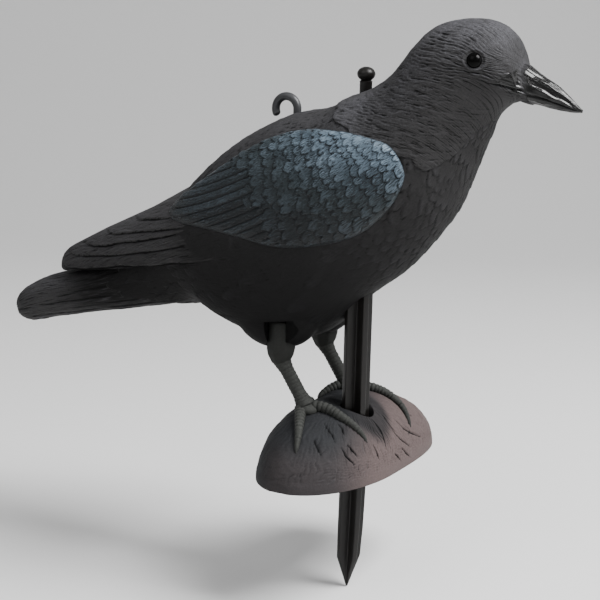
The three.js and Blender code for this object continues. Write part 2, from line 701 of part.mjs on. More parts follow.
// Sections of the cross above its tip: height, then shares of the reach, the thickness and
// the set-back.
const STAKE_SECTIONS = [
  [STAKE_POINT_LENGTH - STAKE_BELOW_MOUND, 0.88, 0.8, 0.72],
  [-STAKE_BELOW_MOUND / 2, 0.95, 0.9, 0.4],
  [0, 1, 1, 0],
  [shoulderZ, 1, 1, 0],
];
const NECK_ROOT = 2; // how deep the neck ends inside the ribs

function stakeSolid() {
  const tip = crossRing(-STAKE_BELOW_MOUND, STAKE_TIP_REACH, STAKE_TIP_THICKNESS, STAKE_TIP_SET_BACK);
  const rings = STAKE_SECTIONS.map(([z, reach, thickness, setBack]) => crossRing(
    z,
    STAKE_RIB_REACH * reach,
    STAKE_RIB_THICKNESS * thickness,
    STAKE_TIP_SET_BACK * setBack,
  ));
  const cross = toSolid(loftOf([tip, ...rings]));
  const neck = STAKE_NECK_DIAMETER / 2;
  const knobZ = stakeTopZ - KNOB_HEIGHT;
  const knob = KNOB_PROFILE.map(([height, radius]) => [
    knobZ + KNOB_HEIGHT * height,
    (KNOB_DIAMETER / 2) * radius,
  ]);
  const top = toSolid(turned([[shoulderZ - NECK_ROOT, neck], [knobZ, neck], ...knob], 12, STAKE_X, 0));
  return cross.add(top);
}

function stakeBore() {
  const wide = STAKE_RIB_REACH + STAKE_CLEARANCE;
  const narrow = STAKE_NECK_DIAMETER / 2 + STAKE_CLEARANCE;
  const step = shoulderZ + STAKE_CLEARANCE;
  return toSolid(turned(
    [[0, wide], [step, wide], [step + SMALLEST_EDGE, narrow], [stakeTopZ, narrow]],
    16, STAKE_X, 0,
  ));
}

// Hook: an open loop on a stem, in the mid-plane

const HOOK_STEPS = 12;

function hookPoints() {
  const radius = (HOOK_LOOP - HOOK_WIRE) / 2;
  const backZ = backHeight(HOOK_X);
  const foot = new THREE.Vector3(HOOK_X, 0, backZ - HOOK_DEPTH);
  const stemTop = new THREE.Vector3(HOOK_X, 0, backZ + HOOK_STEM_SHOWN);
  const points = [foot, stemTop];
  for (let i = 1; i <= HOOK_STEPS; i += 1) {
    const angle = (i / HOOK_STEPS) * HOOK_SWEEP * (Math.PI / 180);
    points.push(new THREE.Vector3(
      stemTop.x - radius + radius * Math.cos(angle),
      0,
      stemTop.z + radius * Math.sin(angle),
    ));
  }
  return points;
}

function hookGeometry() {
  const points = hookPoints();
  return bar(points, points.map(() => HOOK_WIRE / 2), 8, new THREE.Vector3(0, 1, 0));
}

function hookHole() {
  const [foot, stemTop] = hookPoints();
  const down = foot.clone().sub(stemTop).normalize();
  const radius = HOOK_WIRE / 2 + HOOK_CLEARANCE;
  return toSolid(bar(
    [foot.clone().addScaledVector(down, HOOK_CLEARANCE), stemTop],
    [radius, radius], 12,
  ));
}

// Eyes

const EYE_PLACE = [103.5, 252.5]; // on the side of the head, like the stations
const EYE_STANDS_OUT = 2.2;
const EYE_FACETS = [10, 7]; // round and from top to bottom

function eyeCentre(side) {
  const lift = EYE_STANDS_OUT - EYE_DIAMETER / 2;
  return onSkin(birdX(EYE_PLACE[0]), birdZ(EYE_PLACE[1]), lift, side);
}

function ball(diameter, centre) {
  const geometry = new THREE.SphereGeometry(diameter / 2, ...EYE_FACETS);
  geometry.translate(centre.x, centre.y, centre.z);
  return geometry;
}

// Assembly

function bodySolid() {
  let body = toSolid(bodyGeometry())
    .add(toSolid(beakHalf(true)))
    .add(toSolid(beakHalf(false)));
  for (const side of [1, -1]) {
    WING_TIPS.forEach((_, layer) => {
      body = body.add(toSolid(wingLayer(layer, side)));
    });
    body = body.add(toSolid(padGeometry(side)));
  }
  for (const side of [1, -1]) body = body.add(thighSolid(side));
  body = body.subtract(stakeBore()).subtract(hookHole());
  for (const side of [1, -1]) {
    body = body.subtract(pocketSolid(side));
    body = body.subtract(toSolid(ball(EYE_DIAMETER + 2 * EYE_CLEARANCE, eyeCentre(side))));
  }
  return outerSkin(body);
}

function legsAndMoundSolid() {
  let solid = toSolid(moundGeometry());
  const holeX = STAKE_X + MOUND_HOLE_LEAD;
  const rimZ = moundHeight(holeX, 0);
  solid = solid.subtract(toSolid(turned([
    [-CUT_OVERRUN, MOUND_HOLE_DIAMETER / 2],
    [rimZ - DISH_DEPTH, MOUND_HOLE_DIAMETER / 2],
    [rimZ + DISH_DEPTH, DISH_DIAMETER / 2],
    [MOUND_HEIGHT + DISH_DEPTH, DISH_DIAMETER / 2],
  ], 18, holeX, 0)));
  for (const side of [1, -1]) {
    solid = solid.add(legSolid(side));
    (side > 0 ? LEFT_TOES : RIGHT_TOES).forEach((route) => {
      solid = solid.add(toSolid(toeGeometry(route, side)));
    });
  }
  return outerSkin(solid);
}

const crow = new THREE.Group();

function add(name, geometry, material) {
  const mesh = new THREE.Mesh(geometry, material);
  mesh.name = name;
  crow.add(mesh);
}

add('crow_body', toGeometry(bodySolid()), charcoal);
add('legs_and_mound', toGeometry(legsAndMoundSolid()), moundGrey);
add('stake', toGeometry(stakeSolid()), stakeBlack);
add('hanging_hook', hookGeometry(), hookGrey);
add('eye_left', ball(EYE_DIAMETER, eyeCentre(1)), eyeBlack);
add('eye_right', ball(EYE_DIAMETER, eyeCentre(-1)), eyeBlack);

export default crow;
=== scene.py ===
"""Crow decoy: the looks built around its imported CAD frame.

Everything is in metres, in the frame of the solids: +X towards the beak, +Y to the bird's left,
+Z up, with the origin on the flat underside of the mound.
"""

import math

import bpy
import numpy as np
from mathutils import Matrix, Vector


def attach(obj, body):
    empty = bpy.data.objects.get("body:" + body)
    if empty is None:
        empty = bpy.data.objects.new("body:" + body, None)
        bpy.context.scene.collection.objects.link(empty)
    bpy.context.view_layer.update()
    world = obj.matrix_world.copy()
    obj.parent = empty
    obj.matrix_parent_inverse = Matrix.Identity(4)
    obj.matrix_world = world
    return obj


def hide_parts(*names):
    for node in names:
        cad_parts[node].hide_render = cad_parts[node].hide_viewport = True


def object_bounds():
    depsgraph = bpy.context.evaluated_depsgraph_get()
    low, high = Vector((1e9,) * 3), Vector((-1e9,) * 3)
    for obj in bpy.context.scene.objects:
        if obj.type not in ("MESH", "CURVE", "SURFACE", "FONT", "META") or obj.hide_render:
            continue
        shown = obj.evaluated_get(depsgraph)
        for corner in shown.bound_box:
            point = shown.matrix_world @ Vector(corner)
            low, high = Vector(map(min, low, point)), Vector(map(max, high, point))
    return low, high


bl_info = {
    "name": "Crow decoy",
    "version": (1, 0, 0),
    "blender": (4, 5, 0),
    "location": "View3D > Sidebar > Crow decoy",
    "description": "Builds a moulded crow decoy with its mound, stake and hook",
    "category": "Add Mesh",
}

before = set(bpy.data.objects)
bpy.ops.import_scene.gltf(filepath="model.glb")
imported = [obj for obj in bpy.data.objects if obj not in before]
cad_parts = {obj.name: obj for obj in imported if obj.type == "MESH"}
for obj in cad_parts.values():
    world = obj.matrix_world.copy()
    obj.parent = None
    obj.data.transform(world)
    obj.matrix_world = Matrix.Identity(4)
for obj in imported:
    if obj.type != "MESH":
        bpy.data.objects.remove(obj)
CAD_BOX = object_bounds()
MM = 0.001
TINY = 1e-9
BOX_MARGIN = 1e-6

# The bird's form, in millimetres, as the solids have it

# Stations from tail end to face: top x, top z, bottom x, bottom z, half width,
# share of the height where it is widest, upper and lower fullness.
STATIONS = np.array([
    [-235.5, 75.8, -231, 66, 8, 0.5, 2.2, 2.2],
    [-230, 83, -224.5, 62.2, 15, 0.5, 2.2, 2.2],
    [-220.5, 89.7, -214, 64, 19, 0.5, 2.2, 2.2],
    [-203, 97, -198, 68, 22, 0.5, 2.2, 2.2],
    [-175, 104.5, -165, 75.8, 24, 0.5, 2.2, 2.2],
    [-145, 118, -128, 83, 27, 0.5, 2.1, 2.2],
    [-117, 137, -98, 89.8, 34, 0.5, 2.1, 2.3],
    [-95, 160.4, -75, 93, 42, 0.5, 2.1, 2.4],
    [-76, 180.6, -53, 84.4, 48, 0.5, 2.1, 2.5],
    [-52, 199.5, -27, 78, 51, 0.5, 2.1, 2.5],
    [-22, 214.5, 2, 83, 53, 0.5, 2.1, 2.3],
    [4, 220.3, 30, 108, 53, 0.5, 2.1, 2.1],
    [20, 227.5, 52, 125, 51, 0.5, 2.1, 2.0],
    [33, 233, 68.5, 143, 47, 0.5, 2.0, 2.0],
    [46.5, 242.7, 82.5, 161.5, 42, 0.5, 2.0, 2.0],
    [57.3, 256.8, 92, 183, 37, 0.5, 2.0, 2.0],
    [67.5, 267.5, 101.3, 206, 33, 0.52, 2.0, 2.0],
    [80, 273, 107.4, 220, 30, 0.52, 2.0, 2.0],
    [93, 274.5, 115, 227.3, 27, 0.5, 2.0, 2.0],
    [106, 272.7, 119.5, 229.3, 23, 0.5, 2.0, 2.0],
    [116, 266, 123, 230.4, 16.5, 0.5, 2.0, 2.0],
    [121.5, 252, 123.5, 236, 10, 0.5, 2.0, 2.0],
])
# The face instead of the last station: its bristles run out over the beak.
FACE = [
    [121.5, 253.2, 125.5, 229.0, 12.2, 0.36, 2.0, 2.0],
    [126.5, 249.8, 129.5, 228.4, 10.2, 0.34, 2.0, 2.0],
    [131.5, 246.1, 133.5, 228.2, 8.5, 0.34, 2.0, 2.0],
]
HEAD_STATIONS = np.concatenate([STATIONS[:-1], FACE])
HEAD_REACH = (len(HEAD_STATIONS) - 1) / (len(STATIONS) - 1)
# Beak: x, culmen z, gape z, chin z, half width
BEAK = np.array([
    [116, 257.2, 238, 228.8, 15],
    [124, 251, 236.8, 228.8, 11],
    [131.5, 245.9, 235, 228.6, 8.6],
    [139, 241.6, 232.7, 227, 6.6],
    [146, 236.7, 230.3, 225.9, 4.6],
    [152, 231.8, 228, 225.3, 2.8],
    [157.3, 227.2, 226.4, 225.4, 0.9],
])

# Hips and the thighs that swell over them
HIP = (-13.0, 84.0)
HIP_SPREAD = 55.0
THIGH_REACH = (26.0, 18.0, 18.0)
THIGH_BEHIND_HIP = 5.5
THIGH_RISE = 9.0
THIGH_INWARD = 5.0
FAR_INSIDE = -50  # stands for no thigh at a place of the skin

EYE_DIAMETER = 9.6
EYE_PLACE = (103.5, 252.5)
EYE_STANDS_OUT = 2.2

# Wing pads: a line from front to rear, and the outline above and below it at even steps
PAD_FRONT = np.array([70.0, 191.3])
PAD_REAR = np.array([-91.4, 148.1])
PAD_ABOVE = np.array([0, 14.2, 21.4, 28.4, 33.7, 33.7, 27.8, 19.4, 13.1, 7.1, 0])
PAD_BELOW = np.array([0, -9.7, -21.4, -30.8, -32.6, -28.9, -18.6, -10.1, -4.6, -1.5, 0])
PAD_THICKNESS = 3.6
PAD_MARGIN = 0.02
PAD_ROOT = 6.0

# Folded wing from tip to front: x, upper edge z, lower edge z, reach from the mid-plane
WING = np.array([
    [-199, 109, 104, 11],
    [-194, 113.5, 100.5, 14],
    [-180, 121.2, 103.7, 18],
    [-154, 134.4, 108, 26],
    [-114, 152.8, 115.5, 38.5],
    [-76, 173.6, 122.5, 48.5],
    [-43, 190, 128, 53],
    [-14, 200.5, 133, 54.5],
    [20, 205, 139, 51],
    [34, 206, 143, 38],
])
WING_TIP = -197.0
WING_RIDGE = 8.0
WING_OVERLAP = 1.0
WING_THICKNESS = 4.0
WING_TIP_ROUNDING = 15.0
# Which way round the head's columns crowd: the bird's right, towards the camera
NEAR_SIDE = -1.0
# Shares along the bird where the torso ends under the neck, and the tail inside the torso
TORSO_END = 0.80
TAIL_ROOT = 0.345
EDGE_EASE = 0.012

STAKE_X = 24.7
STAKE_RIB_REACH = 8.8
STAKE_RIB_THICKNESS = 4.0
STAKE_TURN = -32.0
STAKE_BELOW_MOUND = 78.0
STAKE_POINT_LENGTH = 20.0
STAKE_TIP_SET_BACK = 2.2
STAKE_NECK_DIAMETER = 7.4
STAKE_NECK_SHOWN = 7.0
STAKE_SHOULDER_DEPTH = 22.0
KNOB_DIAMETER = 10.8
KNOB_HEIGHT = 8.5
STAKE_CLEARANCE = 0.6
STAKE_EDGE_ANGLE = 50
CUT_EDGE_ANGLE = 38
# painted shade: faces cut into the body, in the pockets and the stake's bore, take this darker tone
CUT_TONE = 0.3

MOUND_X = 10.5
MOUND_FRONT = 41.0
MOUND_REAR = 38.3
MOUND_RIGHT = 69.0
MOUND_LEFT = 92.0
MOUND_HEIGHT = 44.0
LEFT_FULLNESS = 3.4
RIGHT_FULLNESS = 2.0
MOUND_HOLE_DIAMETER = 21.0
MOUND_HOLE_LEAD = 0.9
DISH_DIAMETER = 40.0
DISH_DEPTH = 1.5
DISH_EASE = 1.2
SADDLE_DEPTH = 2.7
SADDLE_PLACE = (-8.0, 4.0)
SADDLE_REACH = 14.0

PEG_ACROSS = 18.0
PEG_RISE = 9.0
HEEL_BELOW_HIP = 17.0
HEEL_DIAMETER = 12.0
PEG_WAIST = 12.0
PEG_WAIST_RISE = 4.0
PEG_TAPER = 0.9
PEG_CLEARANCE = 0.6
POCKET_RISE = 1.5
POCKET_FLOOR = 6.0
POCKET_REAR = 4.5
POCKET_FRONT = 12.0
POCKET_BEVEL = 8.0
POCKET_BEVEL_DROP = 13.0
POCKET_ROOF_SLOPE = 1.0
POCKET_BELOW_HEEL = 20.0
POCKET_REACH = 30.0
ANKLE_X = 5.0
ANKLE_HEIGHT = 45.0
TARSUS_DIAMETER = 8.4
TARSUS_OVERLAP = 2.5
TOE_DIAMETER = 7.0
TOE_RAISED = 0.55
TOE_TIP_DIAMETER = 2.4
SCUTE_LENGTH = 2.4
CLAW_FROM = 0.84  # share of the toe
FOOT_ROOT_REACH = np.array([7.6, 6.6, 4.6])
# Plan of each toe from the ankle, as x and the way outward
RIGHT_TOES = (
    ((-3, 0), (11, -3), (22, -3.5), (31, -6), (38, -8.5)),
    ((-3, 0), (1, 8.5), (5, 16.5), (8.5, 24), (11, 30.5)),
    ((-3, -1), (-4, -7), (-5, -13), (-5, -19)),
)
LEFT_TOES = (
    ((-3, 0), (12, 6), (23, 9.5), (33, 11), (41, 8.5)),
    ((-3, 0), (1, 8.5), (5, 16.5), (8.5, 24), (11, 30.5)),
    ((-3, -1), (-7, -7), (-10, -13), (-11, -19)),
)

HOOK_WIRE = 5.0
HOOK_LOOP = 20.0
HOOK_X = -21.0
HOOK_STEM_SHOWN = 2.5
HOOK_SWEEP = 215.0
HOOK_DEPTH = 9.0


# Numbers along curves and over grids


def along(values, share):
    """Smooth value at shares 0..1 of evenly spaced rows of values."""
    values = np.asarray(values, float)
    last = len(values) - 1
    place = np.clip(share, 0, 1) * last
    i = np.minimum(np.floor(place).astype(int), last - 1)
    f = place - i
    if values.ndim > 1:
        f = f[..., None]
    padded = np.concatenate([[2 * values[0] - values[1]], values, [2 * values[-1] - values[-2]]])
    p0, p1, p2, p3 = (padded[i + k] for k in range(4))
    square, cube = 2 * p0 - 5 * p1 + 4 * p2 - p3, 3 * p1 - p0 - 3 * p2 + p3
    return 0.5 * (2 * p1 + (p2 - p0) * f + square * f * f + cube * f**3)


def smooth(low, high, x):
    """An eased step from 0 at low to 1 at high."""
    t = np.clip((x - low) / (high - low), 0, 1)
    return t * t * (3 - 2 * t)


def hump(place, centre, width):
    """A smooth rise to 1 about a centre."""
    return np.exp(-(((place - centre) / width) ** 2))


def turns(count, first=0.0):
    """Angles of evenly spaced points round a circle."""
    return (np.arange(count) + first) / count * 2 * np.pi


def chance(i, j, seed):
    """A fixed random share 0..1 for each pair of whole numbers; each seed has shares of its own."""
    h = (i.astype(np.int64) * 73856093) ^ (j.astype(np.int64) * 19349663) ^ (seed * 83492791)
    h = (h ^ (h >> 13)) * 1274126177
    h = h ^ (h >> 16)
    return (h & 0xFFFF) / 65535.0


def ripple(x, y, seed, round_y=0):
    """Smooth random relief, -1..1, of one cell per unit. It closes after round_y cells in y."""
    ix, iy = np.floor(x).astype(int), np.floor(y).astype(int)
    fx, fy = (f * f * (3 - 2 * f) for f in (x - ix, y - iy))
    rows = [np.mod(k, round_y) if round_y else k for k in (iy, iy + 1)]
    (a, b), (c, d) = ([chance(ix + k, row, seed) for k in (0, 1)] for row in rows)
    return 2 * ((a + (b - a) * fx) * (1 - fy) + (c + (d - c) * fx) * fy) - 1


def feathers(a, b, seed, roundness, uneven, round_b=0, softness=0.07):
    """Overlapping feathers: a runs with them, one row per unit, b across, one feather per unit.

    Gives the height 0..1, the share of the way from tip to root, the place across, -0.5..0.5,
    and a random share of each feather's own.
    """
    found = [np.zeros_like(a), np.ones_like(a), np.zeros_like(a), np.zeros_like(a)]
    done = np.zeros(a.shape, bool)
    first = np.floor(a).astype(int)
    for i in (first - 1, first, first + 1, first + 2):
        shifted = b + 0.5 * np.mod(i, 2)
        j = np.floor(shifted).astype(int)
        across = shifted - j - 0.5
        own = chance(i, np.mod(j, round_b) if round_b else j, seed)
        drop = roundness * (1 - np.sqrt(np.maximum(0, 1 - (1.96 * across) ** 2)))
        edge = i + 1 + uneven * (own - 0.5) - drop
        takes = ~done & (a <= edge)
        from_tip = (edge - a) / (1 + roundness)
        height = (1 - from_tip) * smooth(0, softness, from_tip) - 0.9 * across * across
        height = height + 0.25 * (own - 0.5)
        here = (height, from_tip, across, own)
        found = [np.where(takes, new, old) for new, old in zip(here, found)]
        done |= takes
    return found


def barbs(from_tip, place, fineness):
    """Fine slanted lines either side of a shaft, -1..1."""
    lines = np.sin(2 * np.pi * fineness * (from_tip * 1.2 - 1.5 * np.abs(place)))
    return lines * smooth(0.02, 0.1, np.abs(place)) + 1.2 * hump(place, 0, 0.035)


def strokes(run, across, spacing, reach, seed):
    """Short wavy grooves, one row of them to each spacing across: their depth and lower lips."""
    bend, fine_bend = ripple(run / 9, across / 7, seed), ripple(run / 3.2, across / 3, seed + 1)
    across = across / spacing + 0.5 * bend + 0.2 * fine_bend
    row = np.floor(across).astype(int)
    across = across - row - 0.5
    run = run / reach + 7 * chance(row, row, seed + 2)
    cell = np.floor(run).astype(int)
    run = run - cell
    luck = chance(cell, row, seed + 3)
    shape = smooth(0, 0.25 + 0.2 * luck, run) * smooth(1, 0.75, run) * (0.25 + 0.75 * luck)
    return hump(across, 0.08, 0.17) * shape, hump(across, -0.26, 0.2) * shape


def normals_of(grid):
    """Unit normals of a grid of points that closes in its second direction."""
    round_ = (np.roll(grid, -1, axis=1) - np.roll(grid, 1, axis=1)) / 2
    n = np.cross(round_, np.gradient(grid, axis=0))
    return n / np.maximum(np.linalg.norm(n, axis=2, keepdims=True), TINY)


# Mesh helpers


def new_piece(name, points, blocks, layers):
    """A mesh piece from points in millimetres, with named values at its points for its material."""
    mesh = bpy.data.meshes.new(name)
    faces = [face for block in blocks for face in block.tolist()]
    mesh.from_pydata((points * MM).tolist(), [], faces)
    shade_smooth(mesh)
    for key, values in layers.items():
        layer = mesh.attributes.new(key, "FLOAT", "POINT")
        layer.data.foreach_set("value", np.asarray(values, np.float32).ravel())
    mesh.update()
    piece = bpy.data.objects.new(name, mesh)
    bpy.context.scene.collection.objects.link(piece)
    return piece


def shade_smooth(mesh):
    mesh.polygons.foreach_set("use_smooth", np.ones(len(mesh.polygons), bool))


def grid_faces(rows, columns):
    """Quads of a grid that closes in its second direction."""
    r = np.arange(rows - 1)[:, None]
    c = np.arange(columns)[None, :]
    a = r * columns + c
    b = r * columns + (c + 1) % columns
    return np.stack([a, b, b + columns, a + columns], axis=2).reshape(-1, 4)


def outward(points, blocks):
    """The faces of a closed skin, turned so that they face out."""
    volume = 0
    for block in blocks:
        corners = points[block]
        for k in range(1, block.shape[1] - 1):
            volume += np.sum(corners[:, 0] * np.cross(corners[:, k], corners[:, k + 1]))
    return blocks if volume > 0 else [block[:, ::-1] for block in blocks]


def loft_piece(name, lofts, **layers):
    """A piece of closed lofts through rings of points, their ends filled with fans.

    Each layer has one number for every point, or an array for each loft.
    """
    points, blocks, values = [], [], {key: [] for key in layers}
    first = 0
    for k, rings in enumerate(lofts):
        rows, columns = rings.shape[:2]
        own = np.concatenate([rings.reshape(-1, 3), [rings[0].mean(0), rings[-1].mean(0)]])
        i = np.arange(columns)
        j = (i + 1) % columns
        tip, last = rows * columns, (rows - 1) * columns
        start = np.stack([np.full(columns, tip), j, i], 1)
        end = np.stack([np.full(columns, tip + 1), last + i, last + j], 1)
        blocks += [block + first for block in outward(own, [grid_faces(rows, columns), start, end])]
        points.append(own)
        first += len(own)
        for key, layer in layers.items():
            grid = np.broadcast_to(layer if np.isscalar(layer) else layer[k], (rows, columns))
            values[key] += [grid.ravel(), [grid[0].mean(), grid[-1].mean()]]
    joined = {key: np.concatenate(parts) for key, parts in values.items()}
    return new_piece(name, np.concatenate(points), blocks, joined)


def ball(centre, reach, around, up):
    """Rings of a ball or an ellipsoid."""
    lat, lon = (np.arange(1, up) / up - 0.5)[:, None] * np.pi, turns(around)[None, :]
    unit = (np.cos(lat) * np.cos(lon), np.cos(lat) * np.sin(lon), np.sin(lat))
    return centre + np.stack(np.broadcast_arrays(*unit), -1) * reach


def round_rings(levels, x, y, angle, shape=1):
    """Level rings about an upright axis, from rows of height and radius."""
    z, r = np.array(levels, float).T[..., None]
    ring = (x + r * shape * np.cos(angle), y + r * shape * np.sin(angle), z)
    return np.stack(np.broadcast_arrays(*ring), -1)


def bar_rings(points, radii, sides):
    """Rings of a round bar through points."""
    points = np.asarray(points, float)
    ahead = np.gradient(points, axis=0)
    ahead /= np.linalg.norm(ahead, axis=1, keepdims=True)
    first = np.array([0.0, 1.0, 0.0]) if abs(ahead[0][1]) < 0.9 else np.array([1.0, 0.0, 0.0])
    angle = turns(sides)[:, None]
    rings = []
    for p, d, r in zip(points, ahead, radii):
        u = np.cross(first, d)
        u /= np.linalg.norm(u)
        first = np.cross(d, u)
        rings.append(p + r * (np.cos(angle) * u + np.sin(angle) * first))
    return np.array(rings)


def finish_piece(piece, material, slot, *nodes):
    """Gives a piece its material and its place in the frame, inside the solids' box."""
    data = piece.data
    places = np.empty(len(data.vertices) * 3, np.float32)
    data.vertices.foreach_get("co", places)
    low, high = np.array(CAD_BOX[0]) + BOX_MARGIN, np.array(CAD_BOX[1]) - BOX_MARGIN
    inside = np.clip(places.reshape(-1, 3), low, high)
    data.vertices.foreach_set("co", inside.astype(np.float32).ravel())
    data.update()
    data.materials.clear()
    data.materials.append(material)
    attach(piece, "root")
    if nodes:
        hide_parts(*nodes)


# The skin of the bird


def station(share):
    """The stations' eight values at shares along the bird."""
    return np.moveaxis(along(STATIONS, share), -1, 0)


def skin(share, turn, stations=STATIONS):
    """Points of the smooth skin: turn 0 at the belly, 0.5 at the back."""
    share, turn = np.broadcast_arrays(np.asarray(share, float), np.asarray(turn, float))
    tx, tz, bx, bz, width, widest, upper, lower = np.moveaxis(along(stations, share), -1, 0)
    up, side = -np.cos(turn * 2 * np.pi), np.sin(turn * 2 * np.pi)
    power = 2 / np.where(up > 0, upper, lower)
    room = np.where(up > 0, 1 - widest, widest)
    height = widest + room * np.sign(up) * np.abs(up) ** power
    return np.stack([
        bx + (tx - bx) * height,
        width * np.sign(side) * np.abs(side) ** power,
        bz + (tz - bz) * height,
    ], axis=-1)


def skin_place(x, z):
    """Share along the bird and turn of side-view places."""
    low, high = np.zeros_like(x), np.ones_like(x)
    for _ in range(24):
        middle = (low + high) / 2
        tx, tz, bx, bz = station(middle)[:4]
        ahead = (tx - bx) * (z - bz) - (tz - bz) * (x - bx) > 0
        high = np.where(ahead, middle, high)
        low = np.where(ahead, low, middle)
    tx, tz, bx, bz, _, widest, upper, lower = station(low)
    height = np.hypot(x - bx, z - bz) / np.hypot(tx - bx, tz - bz)
    above = height > widest
    room = np.where(above, 1 - widest, widest)
    reach = np.minimum(np.abs(height - widest) / room, 1)
    up = reach ** (np.where(above, upper, lower) / 2) * np.where(above, 1, -1)
    return low, np.arccos(np.clip(-up, -1, 1)) / (2 * np.pi)


def on_skin(x, z, lift, side):
    """Points of the skin under side-view places, lifted off it."""
    share, turn = skin_place(x, z)
    step = 0.004
    here = skin(share, turn)
    ahead = skin(share + step, turn) - skin(share - step, turn)
    round_ = skin(share, turn + step) - skin(share, turn - step)
    out = np.cross(round_, ahead)
    out /= np.maximum(np.linalg.norm(out, axis=-1, keepdims=True), TINY)
    out *= np.where(out[..., 1:2] < 0, -1, 1)
    here = here + out * np.asarray(lift)[..., None]
    here[..., 1] *= side
    return here


def back_height(x):
    """Height of the back above a place along it."""
    tops = station(np.linspace(0, 1, 2001))
    return float(np.interp(x, tops[0], tops[1]))


def length_along(share):
    """Millimetres from the tail end along the bird's middle."""
    s = np.linspace(0, 1, 801)
    tx, tz, bx, bz = station(s)[:4]
    x, z = (tx + bx) / 2, (tz + bz) / 2
    run = np.concatenate([[0], np.cumsum(np.hypot(np.diff(x), np.diff(z)))])
    return np.interp(share, s, run)


# Where the neck feathers end: turns from the throat to the back, and shares along the bird
CAPE = np.array([
    (0.0, 0.8), (0.05, 0.782), (0.083, 0.758), (0.105, 0.731), (0.121, 0.716),
    (0.159, 0.694), (0.197, 0.68), (0.226, 0.672), (0.26, 0.655), (0.284, 0.636),
    (0.32, 0.608), (0.36, 0.585), (0.393, 0.563), (0.44, 0.552), (0.5, 0.548),
])
# How deep its scallops are, and how many go round the bird
CAPE_SCALLOP = 0.009
CAPE_SCALLOPS = 11.0


def cape_edge(turn):
    """Share along the bird where the neck feathers end over the breast, in broad scallops."""
    from_belly = np.minimum(turn, 1 - turn)
    scallop = np.abs(np.sin(np.pi * (CAPE_SCALLOPS * turn + 0.35 * np.sin(9 * turn)))) ** 0.7
    return np.interp(from_belly, *CAPE.T) + CAPE_SCALLOP * (0.5 - scallop)


def cape_lip(turn):
    """How far the edge of the neck feathers stands out, 0..1: none at the throat."""
    return smooth(0.07, 0.13, np.minimum(turn, 1 - turn))


# The feathers under the tail end over it about this share along the bird, in a wave and scallops
COVERT_EDGE = 0.27
COVERT_WAVE = 0.035
COVERT_SCALLOP = 0.012
COVERT_SCALLOPS = 13


def covert_edge(turn):
    """Share along the bird where the feathers under the tail end over it."""
    scallop = np.abs(np.sin(np.pi * (COVERT_SCALLOPS * turn + 0.2 * np.sin(14 * turn))))
    return COVERT_EDGE + COVERT_WAVE * np.cos(4 * np.pi * turn) - COVERT_SCALLOP * scallop


# Feathers of the torso: millimetres to a row, and how many go round the bird
BREAST_ROW = 7.0
BREAST_ROUND = 44
BELLY_ROW = 14
BELLY_ROUND = 30
# Millimetres that a whole turn stands for in strokes, on torso and tail
TORSO_GIRTH = 290
TAIL_GIRTH = 120


def torso_relief(share, turn):
    """Height of the breast, belly and back feathers over the smooth skin, about -1..1, their tone,
    and the places along and across them in millimetres."""
    run = length_along(share)
    ahead = run.max() - run
    wander = 0.5 * ripple(run / 15, turn * 17, 11, 17) + 0.2 * ripple(run / 6, turn * 44, 12, 44)
    scale, tip, place, luck = feathers(
        ahead / BREAST_ROW + wander, turn * BREAST_ROUND + 1.1 * wander, 5, roundness=0.85,
        uneven=0.7, round_b=BREAST_ROUND, softness=0.14,
    )
    worn = 0.45 + 0.55 * smooth(0.2, 0.6, luck + 0.35 * ripple(run / 20, turn * 12, 23, 12))
    grain = ripple(run / 2.2, turn * 150, 21, 150)
    grain = grain * smooth(-0.2, 0.8, ripple(run / 9, turn * 30, 24, 30))
    scale = 0.42 + worn * (0.75 * (scale - 0.42) + 0.07 * barbs(tip, place, 4)) + 0.10 * grain
    large, tip, place, luck = feathers(
        ahead / BELLY_ROW + 0.6 * wander, turn * BELLY_ROUND + 0.8 * wander, 6, roundness=0.8,
        uneven=0.6, round_b=BELLY_ROUND,
    )
    worn = 0.2 + 0.8 * smooth(0.35, 0.8, luck)
    large = 0.42 + worn * (0.6 * (large - 0.4) + 0.08 * barbs(tip, place, 6)) + 0.05 * grain
    breast = smooth(0.48, 0.62, share + 0.03 * wander)
    low = large * (1 - breast) + scale * breast
    # the back has lengthwise strokes
    groove, lip = strokes(run, turn * TORSO_GIRTH, 2.1, 8, 61)
    back = 0.4 + 0.3 * lip - 0.6 * groove + 0.1 * grain
    on_back = smooth(0.33, 0.4, np.minimum(turn, 1 - turn))
    relief = low * (1 - on_back) + back * on_back
    # the tone follows the height: darker in the hollows, partly painted shade and partly dark paint
    return relief, 0.5 + 0.9 * (relief - 0.42), run, turn * TORSO_GIRTH


TAIL_STRIPS = 17
TAIL_STRIP_LENGTH = 70


